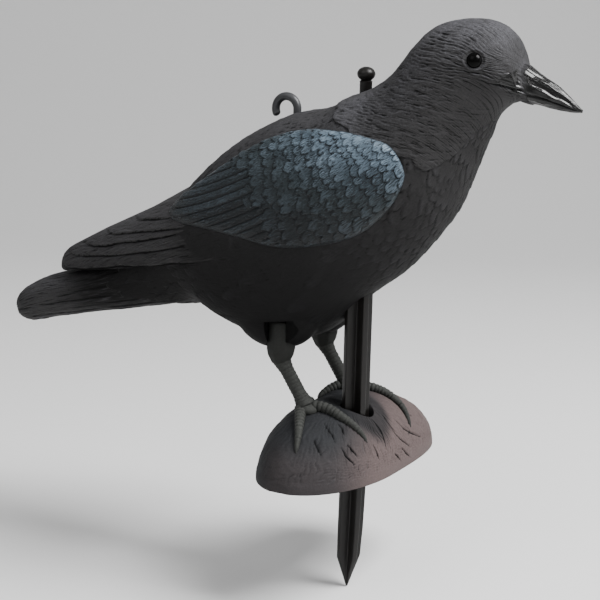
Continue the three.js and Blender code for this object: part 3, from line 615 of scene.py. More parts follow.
def tail_relief(share, turn):
    """Height of the tail's lengthwise feathers, their tone, and the places along and across them
    in millimetres."""
    run = length_along(share)
    waves = 0.25 * ripple(run / 30, turn * 11, 31, 11) + 0.06 * ripple(run / 7, turn * 26, 32, 26)
    strips = turn * TAIL_STRIPS + waves + run / 190 * np.sin(2 * np.pi * turn)
    strip = strips - np.floor(strips)
    key = np.mod(np.floor(strips), TAIL_STRIPS).astype(int)
    cells = run / TAIL_STRIP_LENGTH + 3 * chance(key, key, 33)
    cell = np.floor(cells).astype(int)
    ends = cells - cell
    shown = 0.15 + 0.85 * chance(key, cell, 34)
    shown = shown * smooth(0, 0.15, ends) * smooth(1, 0.8, ends) * smooth(3, 12, run)
    groove = hump(strip, 0.12, 0.08) * shown
    lip = smooth(0.1, 0.3, strip) * smooth(1.15, 0.3, strip) * shown
    small, small_lip = strokes(run, turn * TAIL_GIRTH, 2.4, 11, 35)
    end = smooth(45, 8, run)
    relief = 0.6 * lip - 0.9 * groove + 0.1 + (0.3 + 0.6 * end) * (0.35 * small_lip - 0.55 * small)
    relief = relief + 0.10 * ripple(run / 4, turn * 50, 36, 50)
    # painted shade, partly dark paint: darker in the grooves between the lengthwise feathers
    tone = 0.5 + 0.25 * lip - 0.5 * groove + 0.12 * small_lip - 0.2 * small
    return relief, tone, run, turn * TAIL_GIRTH


# The face in side view. The strands of the head run in rings round its centre.
FACE_CENTRE = (88.0, 238.0)
# Centre and reach of smooth patches, and of the nostril
CHEEK = (106.0, 233.0, 17.0, 10.0)
BROW = (117, 259, 11, 12)
NOSTRIL = (126.5, 244.2, 2.4, 0.9)
GAPE_REAR = 113.0
GAPE_TURNS_UP = (122, 0.19)  # behind this place, by this much a millimetre
LID_RADIUS = 5.5
# The beak's glossy part starts here, and farther forward above and below it
GLOSS_START = (114.5, 240.5)
STREAK_SLOPE = 0.45


def beak_bound(z):
    """Where the glossy beak starts on the face, at a height."""
    x, level = GLOSS_START
    return x + np.where(z > level, (z - level) * 1.0, (level - z) * 1.35)


def patch_edge(x, z, patch):
    """How far side-view places are from a patch's centre, 1 at its edge."""
    return np.hypot((x - patch[0]) / patch[2], (z - patch[1]) / patch[3])


def head_relief(point, normal):
    """Height of the head's strands, about -1..1, their tone, where the face is glossy beak, and
    the places along and across the strands in millimetres."""
    x, y, z = np.moveaxis(point, -1, 0)
    side = np.abs(normal[..., 1])
    from_x, from_z = x - FACE_CENTRE[0], z - FACE_CENTRE[1]
    over = np.hypot(from_x, from_z)
    ahead = smooth(8, 22, from_z) * (from_x > 0)
    level = over * ahead + (from_z + 0.16 * from_x) * (1 - ahead)
    run = over * np.arctan2(from_x, np.maximum(1, from_z)) * ahead + from_x * (1 - ahead)
    flat = smooth(0.25, 0.6, side)
    sides = strokes(run, level, 1.7, 7, 51)
    ridges = strokes(np.where(from_z < 0, z, run), y, 1.9, 7, 59)
    groove, lip = (s * flat + r * (1 - flat) for s, r in zip(sides, ridges))
    swell, swell_lip = (b * flat for b in strokes(run, level, 4.1, 15, 55))
    lumps = ripple(x / 7 + 3, z / 4.5, 63) + 0.6 * ripple(x / 3.5, z / 2.5 + y / 5, 64)
    cheek = smooth(1.1, 0.5, patch_edge(x, z, CHEEK))
    brow = smooth(1.2, 0.5, patch_edge(x, z, BROW))
    glossy = smooth(-0.9, 0.9, x - beak_bound(z) + 0.6 * ripple(x / 3.0, z / 0.8 + y / 2, 65))
    glossy = glossy * smooth(-0.8, -0.4, normal[..., 2])
    plain = (1 - 0.85 * cheek) * (1 - 0.6 * brow) * (1 - glossy)
    fine = plain * (0.6 + 0.4 * smooth(-0.4, 0.6, ripple(x / 9, z / 6, 68)))
    relief = (0.35 * lip - 0.8 * groove) * fine + (0.2 * swell_lip - 0.35 * swell) * plain
    relief = relief + 0.16 * lumps * (1 - 0.7 * cheek) * (1 - glossy) + 0.1
    # the eye's lids, thicker below
    eye_x, eye_z = x - EYE_PLACE[0], z - EYE_PLACE[1]
    away = np.hypot(eye_x * 0.9, eye_z + 0.12 * eye_x)
    below = smooth(1, -3, eye_z)
    ring = hump(away, LID_RADIUS, 0.55) * side
    relief = relief * smooth(LID_RADIUS - 1, LID_RADIUS + 2, away) + (0.35 + 0.35 * below) * ring
    relief = relief - 0.5 * smooth(LID_RADIUS - 0.5, LID_RADIUS - 1.4, away) * side
    # the gape runs back over the face
    start, rise = GAPE_TURNS_UP
    gape = np.interp(x, BEAK[:, 0], BEAK[:, 2]) + rise * np.maximum(0, start - x)
    line = hump(z, gape, 0.5) * smooth(GAPE_REAR - 3, GAPE_REAR + 3, x)
    lips = hump(np.abs(z - gape), 1.5, 0.6) * smooth(GAPE_REAR - 1, GAPE_REAR + 4, x)
    nostril = np.exp(-(patch_edge(x, z, NOSTRIL) ** 2))
    slanted = z + STREAK_SLOPE * x
    streaks = np.sin(2 * np.pi * slanted / 2.1 + 1.5 * ripple(x / 8, z / 4, 66)) * glossy * flat
    streaks = streaks * (0.5 + 0.5 * ripple(x / 8, slanted / 1.4, 67))
    relief = relief - 1.1 * line + 0.5 * lips - 0.9 * nostril + 0.16 * streaks
    # painted shade, partly dark paint: darker in the strands' grooves and along the gape line
    tone = 0.5 + (0.28 * lip - 0.5 * groove) * fine + (0.1 * swell_lip - 0.2 * swell) * plain
    tone = tone + 0.07 * lumps + (0.05 + 0.2 * below) * ring - 0.4 * line
    return relief, tone, glossy, run, level - 0.7 * np.abs(y)


# Booleans on closed pieces


def cut_away(piece, tools):
    """Cuts closed tool meshes out of a piece and deletes them."""
    for tool in tools:
        modifier = piece.modifiers.new("cut", "BOOLEAN")
        modifier.operation = "DIFFERENCE"
        modifier.solver = "MANIFOLD"
        modifier.object = tool
    bpy.context.view_layer.update()
    whole = piece.evaluated_get(bpy.context.evaluated_depsgraph_get())
    mesh = bpy.data.meshes.new_from_object(whole)
    piece.modifiers.clear()
    old, piece.data = piece.data, mesh
    bpy.data.meshes.remove(old)
    shade_smooth(mesh)
    mesh.set_sharp_from_angle(angle=math.radians(CUT_EDGE_ANGLE))
    for tool in tools:
        bpy.data.objects.remove(tool)


def tool_piece(rings):
    """A closed tool mesh; the faces that it cuts take on its darker tone, as painted shade."""
    return loft_piece("tool", [rings], relief=CUT_TONE)


def round_tool(levels, sides, x, y):
    """A round tool about an upright axis, from rows of height and radius."""
    return tool_piece(round_rings(levels, x, y, turns(sides, 0.5)))


# Shader groups and materials

GREY = (0.05, 0.05, 0.05, 1)
GRAIN_SCALE = 900.0
FINE_GRAIN_SCALE = 2600.0
LOW_SHADE = (0.085, 0.215)  # heights in metres between which the shade under the body fades
STRAND_BUMP = 2.5


def link_in(tree, socket, value):
    """Links an output to a socket, or sets a plain value on it."""
    if hasattr(value, "is_output"):
        tree.links.new(value, socket)
    else:
        socket.default_value = value


def node(tree, kind, settings=None, **inputs):
    """A node with its settings and inputs; spaces in socket names are written as underscores."""
    n = tree.nodes.new(kind)
    for key, value in (settings or {}).items():
        setattr(n, key, value)
    for key, value in inputs.items():
        name = key.replace("_", " ")
        link_in(tree, n.inputs[int(name[1:]) if name[1:].isdigit() else name], value)
    return n


def maths(tree, operation, *values):
    n = node(tree, "ShaderNodeMath", {"operation": operation})
    for socket, value in zip(n.inputs, values):
        link_in(tree, socket, value)
    return n.outputs[0]


def times(tree, value, *others):
    """Product of two or more values."""
    for other in others:
        value = maths(tree, "MULTIPLY", value, other)
    return value


def scaled(tree, value, factor, offset):
    return maths(tree, "MULTIPLY_ADD", value, factor, offset)


def mixed(tree, share, a, b):
    return node(tree, "ShaderNodeMix", {"data_type": "RGBA"}, i0=share, i6=a, i7=b).outputs[2]


def ranged(tree, value, low, high, to_low=0.0, to_high=1.0):
    """Eased step of a value, from to_low at low to to_high at high."""
    ease = {"interpolation_type": "SMOOTHSTEP"}
    ends = {"i1": low, "i2": high, "i3": to_low, "i4": to_high}
    return node(tree, "ShaderNodeMapRange", ease, i0=value, **ends).outputs[0]


def noise(tree, place, scale, detail, roughness, distortion=0.0):
    return node(
        tree, "ShaderNodeTexNoise", Vector=place, Scale=scale, Detail=detail, Roughness=roughness,
        Distortion=distortion,
    ).outputs["Fac"]


def object_place(tree):
    return node(tree, "ShaderNodeTexCoord").outputs["Object"]


def new_group(name, inputs, outputs):
    """An empty shader group with the named inputs and outputs, and its input sockets."""
    tree = bpy.data.node_groups.new(name, "ShaderNodeTree")
    for title, default in inputs.items():
        kind = "NodeSocketColor" if isinstance(default, tuple) else "NodeSocketFloat"
        socket = tree.interface.new_socket(title, in_out="INPUT", socket_type=kind)
        socket.default_value = default
    for title in outputs:
        kind = "NodeSocketColor" if title == "Colour" else "NodeSocketFloat"
        tree.interface.new_socket(title, in_out="OUTPUT", socket_type=kind)
    return tree, tree.nodes.new("NodeGroupInput").outputs


def relief_group():
    """Colour of moulded relief: painted shade in its crevices, paler on its crests, dust with
    painted top light on what faces up, painted shade low down, and glossy where it is painted so."""
    if "Moulded relief" in bpy.data.node_groups:
        return bpy.data.node_groups["Moulded relief"]
    tree, given = new_group("Moulded relief", {
        "Colour": GREY,
        "Crevice Colour": GREY,
        "Crest Colour": GREY,
        # Dust Colour and Dust give dust with painted top light on what faces up
        "Dust Colour": GREY,
        "Gloss Colour": GREY,
        "Relief": 0.5,
        "Gloss": 0.0,
        "Dust": 0.3,
        "Low Shade": 1.0,
        "Patch Size": 30.0,
        "Base Roughness": 0.6,
    }, ("Colour", "Roughness", "Height", "Coat"))
    place = object_place(tree)
    patch = ranged(tree, noise(tree, place, given["Patch Size"], 4.0, 0.6), 0.35, 0.7)
    grain = noise(tree, place, GRAIN_SCALE, 3.0, 0.7)
    fine = noise(tree, place, FINE_GRAIN_SCALE, 2.0, 0.6)
    # painted shade, partly dark paint: the lower the relief, the more of the dark crevice colour
    crevice = ranged(tree, given["Relief"], 0.05, 0.45, 1.0, 0.0)
    crest = times(tree, ranged(tree, given["Relief"], 0.52, 0.95), scaled(tree, patch, 0.6, 0.4))
    colour = mixed(tree, crest, given["Colour"], given["Crest Colour"])
    colour = mixed(tree, crevice, colour, given["Crevice Colour"])
    normal = node(tree, "ShaderNodeNewGeometry").outputs["Normal"]
    upward = node(tree, "ShaderNodeSeparateXYZ", Vector=normal).outputs["Z"]
    # dust with painted top light: paler where the faces point up
    dust = times(
        tree, ranged(tree, upward, -0.1, 0.95), given["Dust"],
        scaled(tree, ranged(tree, grain, 0.4, 0.72), 0.6, 0.4), scaled(tree, patch, 0.5, 0.5),
        ranged(tree, crevice, 0.0, 1.0, 1.0, 0.25),
    )
    colour = mixed(tree, dust, colour, given["Dust Colour"])
    height = node(tree, "ShaderNodeSeparateXYZ", Vector=place).outputs["Z"]
    # painted shade: darker low down, under the body
    low = times(tree, ranged(tree, height, *LOW_SHADE, 1.0, 0.0), given["Low Shade"])
    colour = mixed(tree, low, colour, mixed(tree, 0.88, colour, (0, 0, 0, 1)))
    colour = mixed(tree, given["Gloss"], colour, given["Gloss Colour"])
    value = ranged(tree, grain, 0.3, 0.7, 0.88, 1.12)
    tint = node(tree, "ShaderNodeHueSaturation", Value=value, Color=colour)
    rough = scaled(tree, dust, 0.25, scaled(tree, grain, 0.16, given["Base Roughness"]))
    rough = times(tree, rough, scaled(tree, given["Gloss"], -0.7, 1.0))
    node(
        tree, "NodeGroupOutput", Colour=tint.outputs[0], Roughness=rough,
        Height=scaled(tree, fine, 0.5, grain), Coat=given["Gloss"],
    )
    return tree


def strand_group():
    """Thin dark lines and pale ones, drawn along a surface's own directions in millimetres."""
    if "Fine strands" in bpy.data.node_groups:
        return bpy.data.node_groups["Fine strands"]
    tree, given = new_group("Fine strands", {
        "Along": 0.0,
        "Across": 0.0,
        "Length": 7.0,
        "Width": 0.9,
        "Amount": 0.5,
        "Relief": 0.5,
    }, ("Relief", "Height"))
    lengthwise = maths(tree, "DIVIDE", given["Along"], given["Length"])
    crosswise = maths(tree, "DIVIDE", given["Across"], given["Width"])
    place = node(tree, "ShaderNodeCombineXYZ", X=lengthwise, Y=crosswise).outputs[0]
    lines = noise(tree, place, 1.0, 2.0, 0.5, distortion=0.3)
    dark = ranged(tree, lines, 0.36, 0.47, 1.0, 0.0)
    pale = ranged(tree, lines, 0.55, 0.68)
    height = times(tree, scaled(tree, pale, 0.6, times(tree, dark, -1.0)), given["Amount"])
    relief = maths(tree, "ADD", given["Relief"], height)
    node(tree, "NodeGroupOutput", Relief=relief, Height=height)
    return tree


def stranded(tree, strands):
    """The mesh's relief with fine strands in it, and the strands' height alone."""
    size, width, amount = strands
    out = node(
        tree, "ShaderNodeGroup", {"node_tree": strand_group()}, Along=attribute(tree, "along"),
        Across=attribute(tree, "across"), Length=size, Width=width, Amount=amount,
        Relief=attribute(tree, "relief"),
    ).outputs
    return out["Relief"], out["Height"]


def scuff_group():
    """Fine lengthwise scratches and specks for smooth plastic and metal."""
    if "Fine scuffs" in bpy.data.node_groups:
        return bpy.data.node_groups["Fine scuffs"]
    tree, given = new_group("Fine scuffs", {
        "Colour": GREY,
        "Scuff Colour": GREY,
        "Amount": 0.3,
        "Base Roughness": 0.35,
    }, ("Colour", "Roughness", "Height"))
    place = object_place(tree)
    drawn = node(tree, "ShaderNodeMapping", Vector=place, Scale=(1.0, 1.0, 0.12)).outputs[0]
    lines, specks = noise(tree, drawn, 700.0, 4.0, 0.75), noise(tree, place, 420.0, 5.0, 0.8)
    scuff = times(
        tree, ranged(tree, lines, 0.56, 0.72), ranged(tree, specks, 0.42, 0.62), given["Amount"]
    )
    colour = mixed(tree, scuff, given["Colour"], given["Scuff Colour"])
    rough = scaled(tree, scuff, 0.4, scaled(tree, specks, 0.2, given["Base Roughness"]))
    node(tree, "NodeGroupOutput", Colour=colour, Roughness=rough, Height=lines)
    return tree


def new_material(name):
    material = bpy.data.materials.new(name)
    material.use_nodes = True
    tree = material.node_tree
    return material, tree, tree.nodes["Principled BSDF"]


def attribute(tree, name):
    return node(tree, "ShaderNodeAttribute", {"attribute_name": name}).outputs["Fac"]


def rgba(colour):
    return (*colour[:3], 1.0)


def tinted(colour, factor):
    return [v * factor for v in colour]


def join_shader(tree, shader, group, bumps, distance, specular):
    """Joins a group's colour, roughness and bumps to the shader."""
    normal = node(tree, "ShaderNodeBump", Height=bumps, Distance=distance, Strength=0.5)
    link_in(tree, shader.inputs["Base Color"], group["Colour"])
    link_in(tree, shader.inputs["Roughness"], group["Roughness"])
    link_in(tree, shader.inputs["Normal"], normal.outputs[0])
    link_in(tree, shader.inputs["Specular IOR Level"], specular)


def feather_material(name, colour, crevice, crest, dust_colour, dust, low=0.0, glossy=None,
                     other=None, roughness=0.62, strands=None):
    """Matt moulded plastic; glossy and other are colours taken on where its mesh layers say so."""
    if name in bpy.data.materials:
        return bpy.data.materials[name]
    material, tree, shader = new_material(name)
    # its dust colour also stands for painted top light on what faces up
    main, dusty_and_lit = rgba(colour), rgba(dust_colour)
    if other is not None:
        share = attribute(tree, "other")
        main = mixed(tree, share, main, rgba(other))
        dusty_and_lit = mixed(tree, share, dusty_and_lit, rgba(tinted(other, 1.6)))
    relief, lines = stranded(tree, strands) if strands else (attribute(tree, "relief"), None)
    group = node(
        tree, "ShaderNodeGroup", {"node_tree": relief_group()}, Colour=main,
        Crevice_Colour=rgba(crevice), Crest_Colour=rgba(crest), Dust_Colour=dusty_and_lit, Relief=relief,
        Dust=dust, Low_Shade=low, Patch_Size=34.0, Base_Roughness=roughness,
    )
    out = group.outputs
    if glossy is not None:
        link_in(tree, group.inputs["Gloss"], attribute(tree, "gloss"))
        link_in(tree, group.inputs["Gloss Colour"], rgba(glossy))
        link_in(tree, shader.inputs["Coat Weight"], times(tree, out["Coat"], 0.55))
        link_in(tree, shader.inputs["Coat Roughness"], 0.07)
    bumps = scaled(tree, lines, STRAND_BUMP, out["Height"]) if strands else out["Height"]
    join_shader(tree, shader, out, bumps, 0.00022, 0.09)
    return material


def pad_material(settings):
    """Blue-painted covert feathers, with painted sheen that shows the blue pale at the upper front
    and painted shade that shows it blue-grey below.
    """
    material, tree, shader = new_material("Blue brushed wing pad")
    clouds = noise(tree, object_place(tree), 55.0, 3.0, 0.55)
    shifted = maths(tree, "ADD", attribute(tree, "painted_sheen"), scaled(tree, clouds, 0.3, -0.15))
    ramp = tree.nodes.new("ShaderNodeValToRGB")
    # painted sheen and painted shade: one blue, lighter at the upper front rim, darker below
    stops = (
        (0.0, settings.pad_lower_shade), (0.4, settings.pad_middle), (0.75, settings.pad_upper_sheen),
        (1.0, settings.pad_rim_sheen),
    )
    while len(ramp.color_ramp.elements) < len(stops):
        ramp.color_ramp.elements.new(0.5)
    for element, (position, colour) in zip(ramp.color_ramp.elements, stops):
        element.position = position
        element.color = rgba(colour)
    link_in(tree, ramp.inputs[0], shifted)
    blue = ramp.outputs[0]
    relief, lines = stranded(tree, (2.6, 0.5, 0.55))
    out = node(
        tree, "ShaderNodeGroup", {"node_tree": relief_group()}, Colour=blue,
        Crevice_Colour=mixed(tree, 0.92, blue, rgba(settings.pad_crevice)),
        # the paler brushing is laid on most where the painted sheen is
        Crest_Colour=mixed(
            tree, ranged(tree, shifted, 0.25, 1.0, 0.2, 0.75), blue, rgba(settings.pad_brush_and_sheen)
        ),
        Dust_Colour=rgba(settings.pad_brush_and_sheen), Relief=relief, Dust=0.06, Patch_Size=60.0,
        Base_Roughness=0.42,
    ).outputs
    join_shader(tree, shader, out, scaled(tree, lines, STRAND_BUMP, out["Height"]), 0.0002, 0.3)
    return material


def smooth_material(name, colour, scuff, amount, roughness, metallic=0.0, bump=0.00006,
                    specular=0.5):
    """Smooth plastic or metal with fine scuffs."""
    if name in bpy.data.materials:
        return bpy.data.materials[name]
    material, tree, shader = new_material(name)
    out = node(
        tree, "ShaderNodeGroup", {"node_tree": scuff_group()}, Colour=rgba(colour),
        Scuff_Colour=rgba(scuff), Amount=amount, Base_Roughness=roughness,
    ).outputs
    join_shader(tree, shader, out, out["Height"], bump, specular)
    link_in(tree, shader.inputs["Metallic"], metallic)
    return material


# Sizes and colours that a user would change


def length(name, description, default):
    return bpy.props.FloatProperty(
        name=name, description=description, default=default, unit="LENGTH", subtype="DISTANCE"
    )


def paint(name, description, default):
    return bpy.props.FloatVectorProperty(
        name=name, description=description, default=default, size=3, min=0, max=1, subtype="COLOR"
    )


def degrees(name, description, default):
    return bpy.props.FloatProperty(
        name=name, description=description, default=math.radians(default), subtype="ANGLE"
    )


def watts(name, description, default):
    return bpy.props.FloatProperty(
        name=name, description=description, default=default, min=0, unit="POWER"
    )


class CrowReliefSettings(bpy.types.PropertyGroup):
    body_depth: length("Body feathers", "Depth of the breast, belly and back feathers", 0.0012)
    tail_depth: length("Tail feathers", "Depth of the tail's lengthwise feathers", 0.0011)
    head_depth: length("Head strands", "Depth of the strands on head and neck", 0.0008)
    cape_lift: length("Cape edge", "How far the neck feathers stand over the breast", 0.0011)
    pad_depth: length("Wing pad scales", "Depth of the scale feathers on the wing pads", 0.0012)
    layer_step: length("Flight feather step", "Step between layers of flight feathers", 0.0012)
    crease_depth: length("Mound creases", "Depth of the creases in the mound", 0.0013)


class CrowColourSettings(bpy.types.PropertyGroup):
    body: paint("Body", "Matt charcoal of the body", (0.0245, 0.0240, 0.0245))
    crevice: paint("Crevices", "Darkest shade between feathers", (0.0045, 0.0045, 0.0045))
    crest: paint("Crests", "Rubbed crests of the feathers", (0.042, 0.041, 0.044))
    # dust with painted top light on what faces up
    dust: paint("Dust", "Pale dust on what faces up", (0.095, 0.095, 0.108))
    flight: paint("Flight feathers", "Grey of the folded flight feathers", (0.042, 0.041, 0.042))
    # one blue paint, made lighter at the upper front by painted sheen and darker below by painted
    # shade
    pad_rim_sheen: paint("Pad rim", "Sky blue of the pad's upper front rim", (0.078, 0.112, 0.145))
    pad_upper_sheen: paint("Pad above", "Blue of the pad's upper half", (0.026, 0.040, 0.052))
    pad_middle: paint("Pad middle", "Teal grey of the pad's middle", (0.012, 0.019, 0.022))
    pad_lower_shade: paint("Pad below", "Dark blue-grey of the pad's lower edge", (0.0055, 0.0085, 0.0105))
    pad_crevice: paint("Pad crevices", "Shade between the scales", (0.003, 0.004, 0.006))
    # paler blue brushing, laid on most where the painted sheen is
    pad_brush_and_sheen: paint("Pad brushing", "Paler blue over the scales' crests", (0.20, 0.265, 0.33))
    legs: paint("Legs", "Olive grey of legs and toes", (0.030, 0.031, 0.029))
    mound: paint("Mound", "Grey of the mound", (0.0195, 0.0203, 0.0222))
    # painted light: the pinkish light on the mound's front, far paler than its own grey
    mound_lit_front: paint("Mound front", "Pinkish grey of the mound's front", (0.09, 0.069, 0.067))
    stake: paint("Stake", "Black-brown of the stake", (0.0075, 0.0067, 0.0062))
    stake_scuff: paint("Stake scuffs", "Paler scuffs on the stake", (0.04, 0.037, 0.035))
    hook: paint("Hook", "Grey of the hook", (0.042, 0.043, 0.046))
    hook_scuff: paint("Hook scuffs", "Paler scuffs on the hook", (0.15, 0.15, 0.16))
    beak: paint("Beak", "Glossy black of beak and eyes", (0.004, 0.004, 0.004))
    floor: paint("Floor", "Pale floor", (0.78, 0.78, 0.78))


class CrowStageSettings(bpy.types.PropertyGroup):
    azimuth: degrees("Azimuth", "Camera round the bird, from its right side forward", 29.0)
    elevation: degrees("Elevation", "Camera above the horizon", 11.5)
    roll: degrees("Roll", "Turn of the camera about its view", -1.4)
    distance: length("Distance", "Camera to what it looks at", 0.926)
    aim: bpy.props.FloatVectorProperty(
        name="Aim", description="Point the camera looks at", default=(-0.016, 0, 0.1005), size=3,
        subtype="TRANSLATION",
    )
    key_power: watts("Key light", "Power of the large light above the beak", 45.0)
    side_power: watts("Side light", "Power of the low light before the beak", 2.5)
    left_power: watts("Left light", "Power of the broad light behind the camera's left", 9.0)
    fill: bpy.props.FloatProperty(
        name="Fill", description="Strength of the even light all round", default=0.42, min=0
    )


def relief_settings():
    return bpy.context.scene.crow_relief


def colour_settings():
    return bpy.context.scene.crow_colours


# Body pieces


def body_material():
    c = colour_settings()
    return feather_material(
        "Matt charcoal feathers", c.body, c.crevice, c.crest, c.dust, dust=0.4, low=0.92,
        strands=(8.0, 0.9, 0.14),
    )


def head_material():
    c = colour_settings()
    return feather_material(
        "Charcoal head and glossy beak", tinted(c.body, 1.25), c.crevice, tinted(c.crest, 1.25),
        c.dust, dust=0.8, glossy=c.beak, strands=(8.5, 0.75, 0.3),
    )


def tail_material():
    c = colour_settings()
    # painted shade: other is the darker colour of the tail's root under the wings
    return feather_material(
        "Charcoal tail feathers", tinted(c.body, 1.5), c.crevice, c.crest, c.dust, dust=0.4,
        other=tinted(c.body, 0.22), strands=(16.0, 0.9, 0.4),
    )


def pocket_tools(side):
    """Cuts for one leg's pocket: a bore for the peg and a recess open to the side and below."""
    radius = PEG_ACROSS / 2 + PEG_CLEARANCE / math.cos(math.pi / 8)
    roof = HIP[1] + PEG_RISE + POCKET_RISE
    foot = HIP[1] - HEEL_BELOW_HIP - POCKET_BELOW_HEEL
    front = POCKET_FRONT + POCKET_BEVEL
    x, z = np.array([
        (-POCKET_REAR, foot), (-POCKET_REAR, roof - POCKET_ROOF_SLOPE),
        (POCKET_FRONT, roof + POCKET_ROOF_SLOPE), (front, roof - POCKET_BEVEL_DROP), (front, foot),
    ]).T
    recess = []
    for out in (POCKET_FLOOR, POCKET_FLOOR + POCKET_REACH):
        y = np.full(len(x), (HIP_SPREAD / 2 + out) * side)
        recess.append(np.stack([HIP[0] + x, y, z], 1))
    bore = round_tool([(foot, radius), (roof, radius)], 8, HIP[0], HIP_SPREAD / 2 * side)
    return [bore, tool_piece(np.array(recess))]


def thigh_lift(base, out, side):
    """How far the full thigh stands out of the skin along its normals."""
    y = (HIP_SPREAD / 2 - THIGH_INWARD) * side
    away = (base - np.array([HIP[0] - THIGH_BEHIND_HIP, y, HIP[1] + THIGH_RISE])) / THIGH_REACH
    way = out / THIGH_REACH
    a, b, c = (way**2).sum(-1), (away * way).sum(-1), (away**2).sum(-1) - 1
    inside = b * b - a * c
    return np.where(inside > 0, (-b + np.sqrt(np.maximum(inside, 0))) / a, FAR_INSIDE)


def smooth_higher(a, b, softness):
    """The higher of two heights, eased where they meet."""
    return softness * np.logaddexp(a / softness, b / softness)


def facing_out(grid, base_middle):
    """Normals of a closed grid, turned away from the middle line of the bird."""
    out = normals_of(grid)
    return out * np.sign(np.sum(out * (grid - base_middle), axis=(1, 2), keepdims=True) + 1e-12)


def stake_bore():
    """The cut for the stake: wide for its ribs, and narrow for its neck above the shoulder."""
    shoulder = back_height(STAKE_X) - STAKE_SHOULDER_DEPTH + STAKE_CLEARANCE
    top = back_height(STAKE_X) + STAKE_NECK_SHOWN + KNOB_HEIGHT
    wide, narrow = (r + STAKE_CLEARANCE for r in (STAKE_RIB_REACH, STAKE_NECK_DIAMETER / 2))
    levels = [(-1, wide), (shoulder, wide), (shoulder + 0.01, narrow), (top, narrow)]
    return round_tool(levels, 48, STAKE_X, 0)


class MESH_OT_crow_torso(bpy.types.Operator):
    """Torso with its feathers, thighs, leg pockets and stake hole"""

    bl_idname = "mesh.crow_torso"
    bl_label = "Torso"

    def execute(self, context):
        rows, columns = 280, 308
        step = np.linspace(0, 1, rows)[:, None]
        even = np.arange(columns)[None, :] / columns
        # columns crowd at the belly
        turn = even - 0.35 * np.sin(2 * np.pi * even) / (2 * np.pi)
        start = covert_edge(turn)
        share = start + (TORSO_END - start) * step
        turn = np.broadcast_to(turn, share.shape)
        base = skin(share, turn)
        relief, tone, lengthwise, crosswise = torso_relief(share, turn)
        depth = relief_settings().body_depth / MM
        edge = smooth(0, EDGE_EASE, step)
        # under the neck feathers the skin draws in
        under = smooth(0.0, 0.03, share - cape_edge(turn))
        lift = (relief - 0.3) * depth * edge * (1 - under) + 0.7 * edge * smooth(0.12, 0, step)
        lift = lift - 2.0 * (1 - edge) - 1.6 * under
        out = facing_out(base, base.mean(1, keepdims=True))
        thighs = smooth_higher(thigh_lift(base, out, 1), thigh_lift(base, out, -1), 1.0)
        lift = smooth_higher(lift, thighs + 0.35 * relief * depth, 0.8)
        torso = loft_piece(
            "crow_torso", [base + out * lift[..., None]], relief=[tone], along=[lengthwise],
            across=[crosswise],
        )
        cut_away(torso, [*pocket_tools(1), *pocket_tools(-1), stake_bore()])
        finish_piece(torso, body_material(), "charcoal_plastic", "crow_body")
        return {"FINISHED"}


class MESH_OT_crow_tail(bpy.types.Operator):
    """Tail with its lengthwise feathers"""

    bl_idname = "mesh.crow_tail"
    bl_label = "Tail"

    def execute(self, context):
        rows, columns = 130, 230
        share = TAIL_ROOT * np.linspace(0, 1, rows)[:, None] ** 1.15
        share, turn = np.broadcast_arrays(share, np.arange(columns)[None, :] / columns)
        base = skin(share, turn)
        relief, tone, lengthwise, crosswise = tail_relief(share, turn)
        middle = base.mean(1, keepdims=True)
        lift = (relief - 0.5) * relief_settings().tail_depth / MM * smooth(0, EDGE_EASE, share)
        rings = base + facing_out(base, middle) * lift[..., None]
        # a rounded end
        end = 1 - 0.3 * (1 - np.clip(share / EDGE_EASE, 0, 1)) ** 2
        rings[..., 1:] = middle[..., 1:] + (rings - middle)[..., 1:] * end[..., None]
        # painted shade: its root is darker, where it lies under the wings
        root = smooth(-202, -150, rings[..., 0])
        tail = loft_piece(
            "crow_tail", [rings], relief=[tone], other=[root], along=[lengthwise],
            across=[crosswise],
        )
        finish_piece(tail, tail_material(), "charcoal_plastic", "crow_body")
        return {"FINISHED"}


class MESH_OT_crow_head(bpy.types.Operator):
    """Head and neck with their strands, from the cape over the breast to the base of the beak"""

    bl_idname = "mesh.crow_head"
    bl_label = "Head and neck"

    def execute(self, context):
        rows, columns = 280, 340
        even = (np.arange(columns) / columns)[None, :]
        # columns crowd on the near side, where the camera looks
        turn = np.mod(even + NEAR_SIDE * 0.45 * np.cos(2 * np.pi * even) / (2 * np.pi), 1)
        step = np.linspace(0, 1, rows)[:, None]
        start = cape_edge(turn)
        share = start + (HEAD_REACH - start) * step
        turn = np.broadcast_to(turn, share.shape)
        base = skin(share / HEAD_REACH, turn, HEAD_STATIONS)
        out = facing_out(base, base.mean(1, keepdims=True))
        relief, tone, glossy, lengthwise, crosswise = head_relief(base, out)
        settings = relief_settings()
        lip = cape_lip(turn)
        edge = smooth(0, EDGE_EASE, step)
        lift = (relief - 0.2) * settings.head_depth / MM * (0.3 + 0.7 * edge)
        lift = lift + settings.cape_lift / MM * lip * edge * (1 - step) ** 2
        lift = lift - (0.5 + 1.8 * lip) * (1 - edge)
        # the face sinks under the beak, and the join is matt
        lift = lift - 2.0 * smooth(0.81, 0.92, step)
        glossy = glossy * smooth(0.85, 0.79, step)
        head = loft_piece(
            "crow_head", [base + out * lift[..., None]], relief=[tone], gloss=[glossy],
            along=[lengthwise], across=[crosswise],
        )
        finish_piece(head, head_material(), "charcoal_plastic", "crow_body")
        return {"FINISHED"}


# Ridges along the beak: height, place up its side from the gape to the middle, and width
UPPER_RIDGES = (
    (1, 0.1, 0.07), (-0.7, 0.25, 0.07), (0.6, 0.5, 0.1), (-0.6, 0.7, 0.06), (0.5, 1.0, 0.15),
)
LOWER_RIDGES = ((0.8, 0.35, 0.1), (-1.2, 0.08, 0.09))
BEAK_OVERLAP = 0.9
BEAK_HOLLOW = 0.3


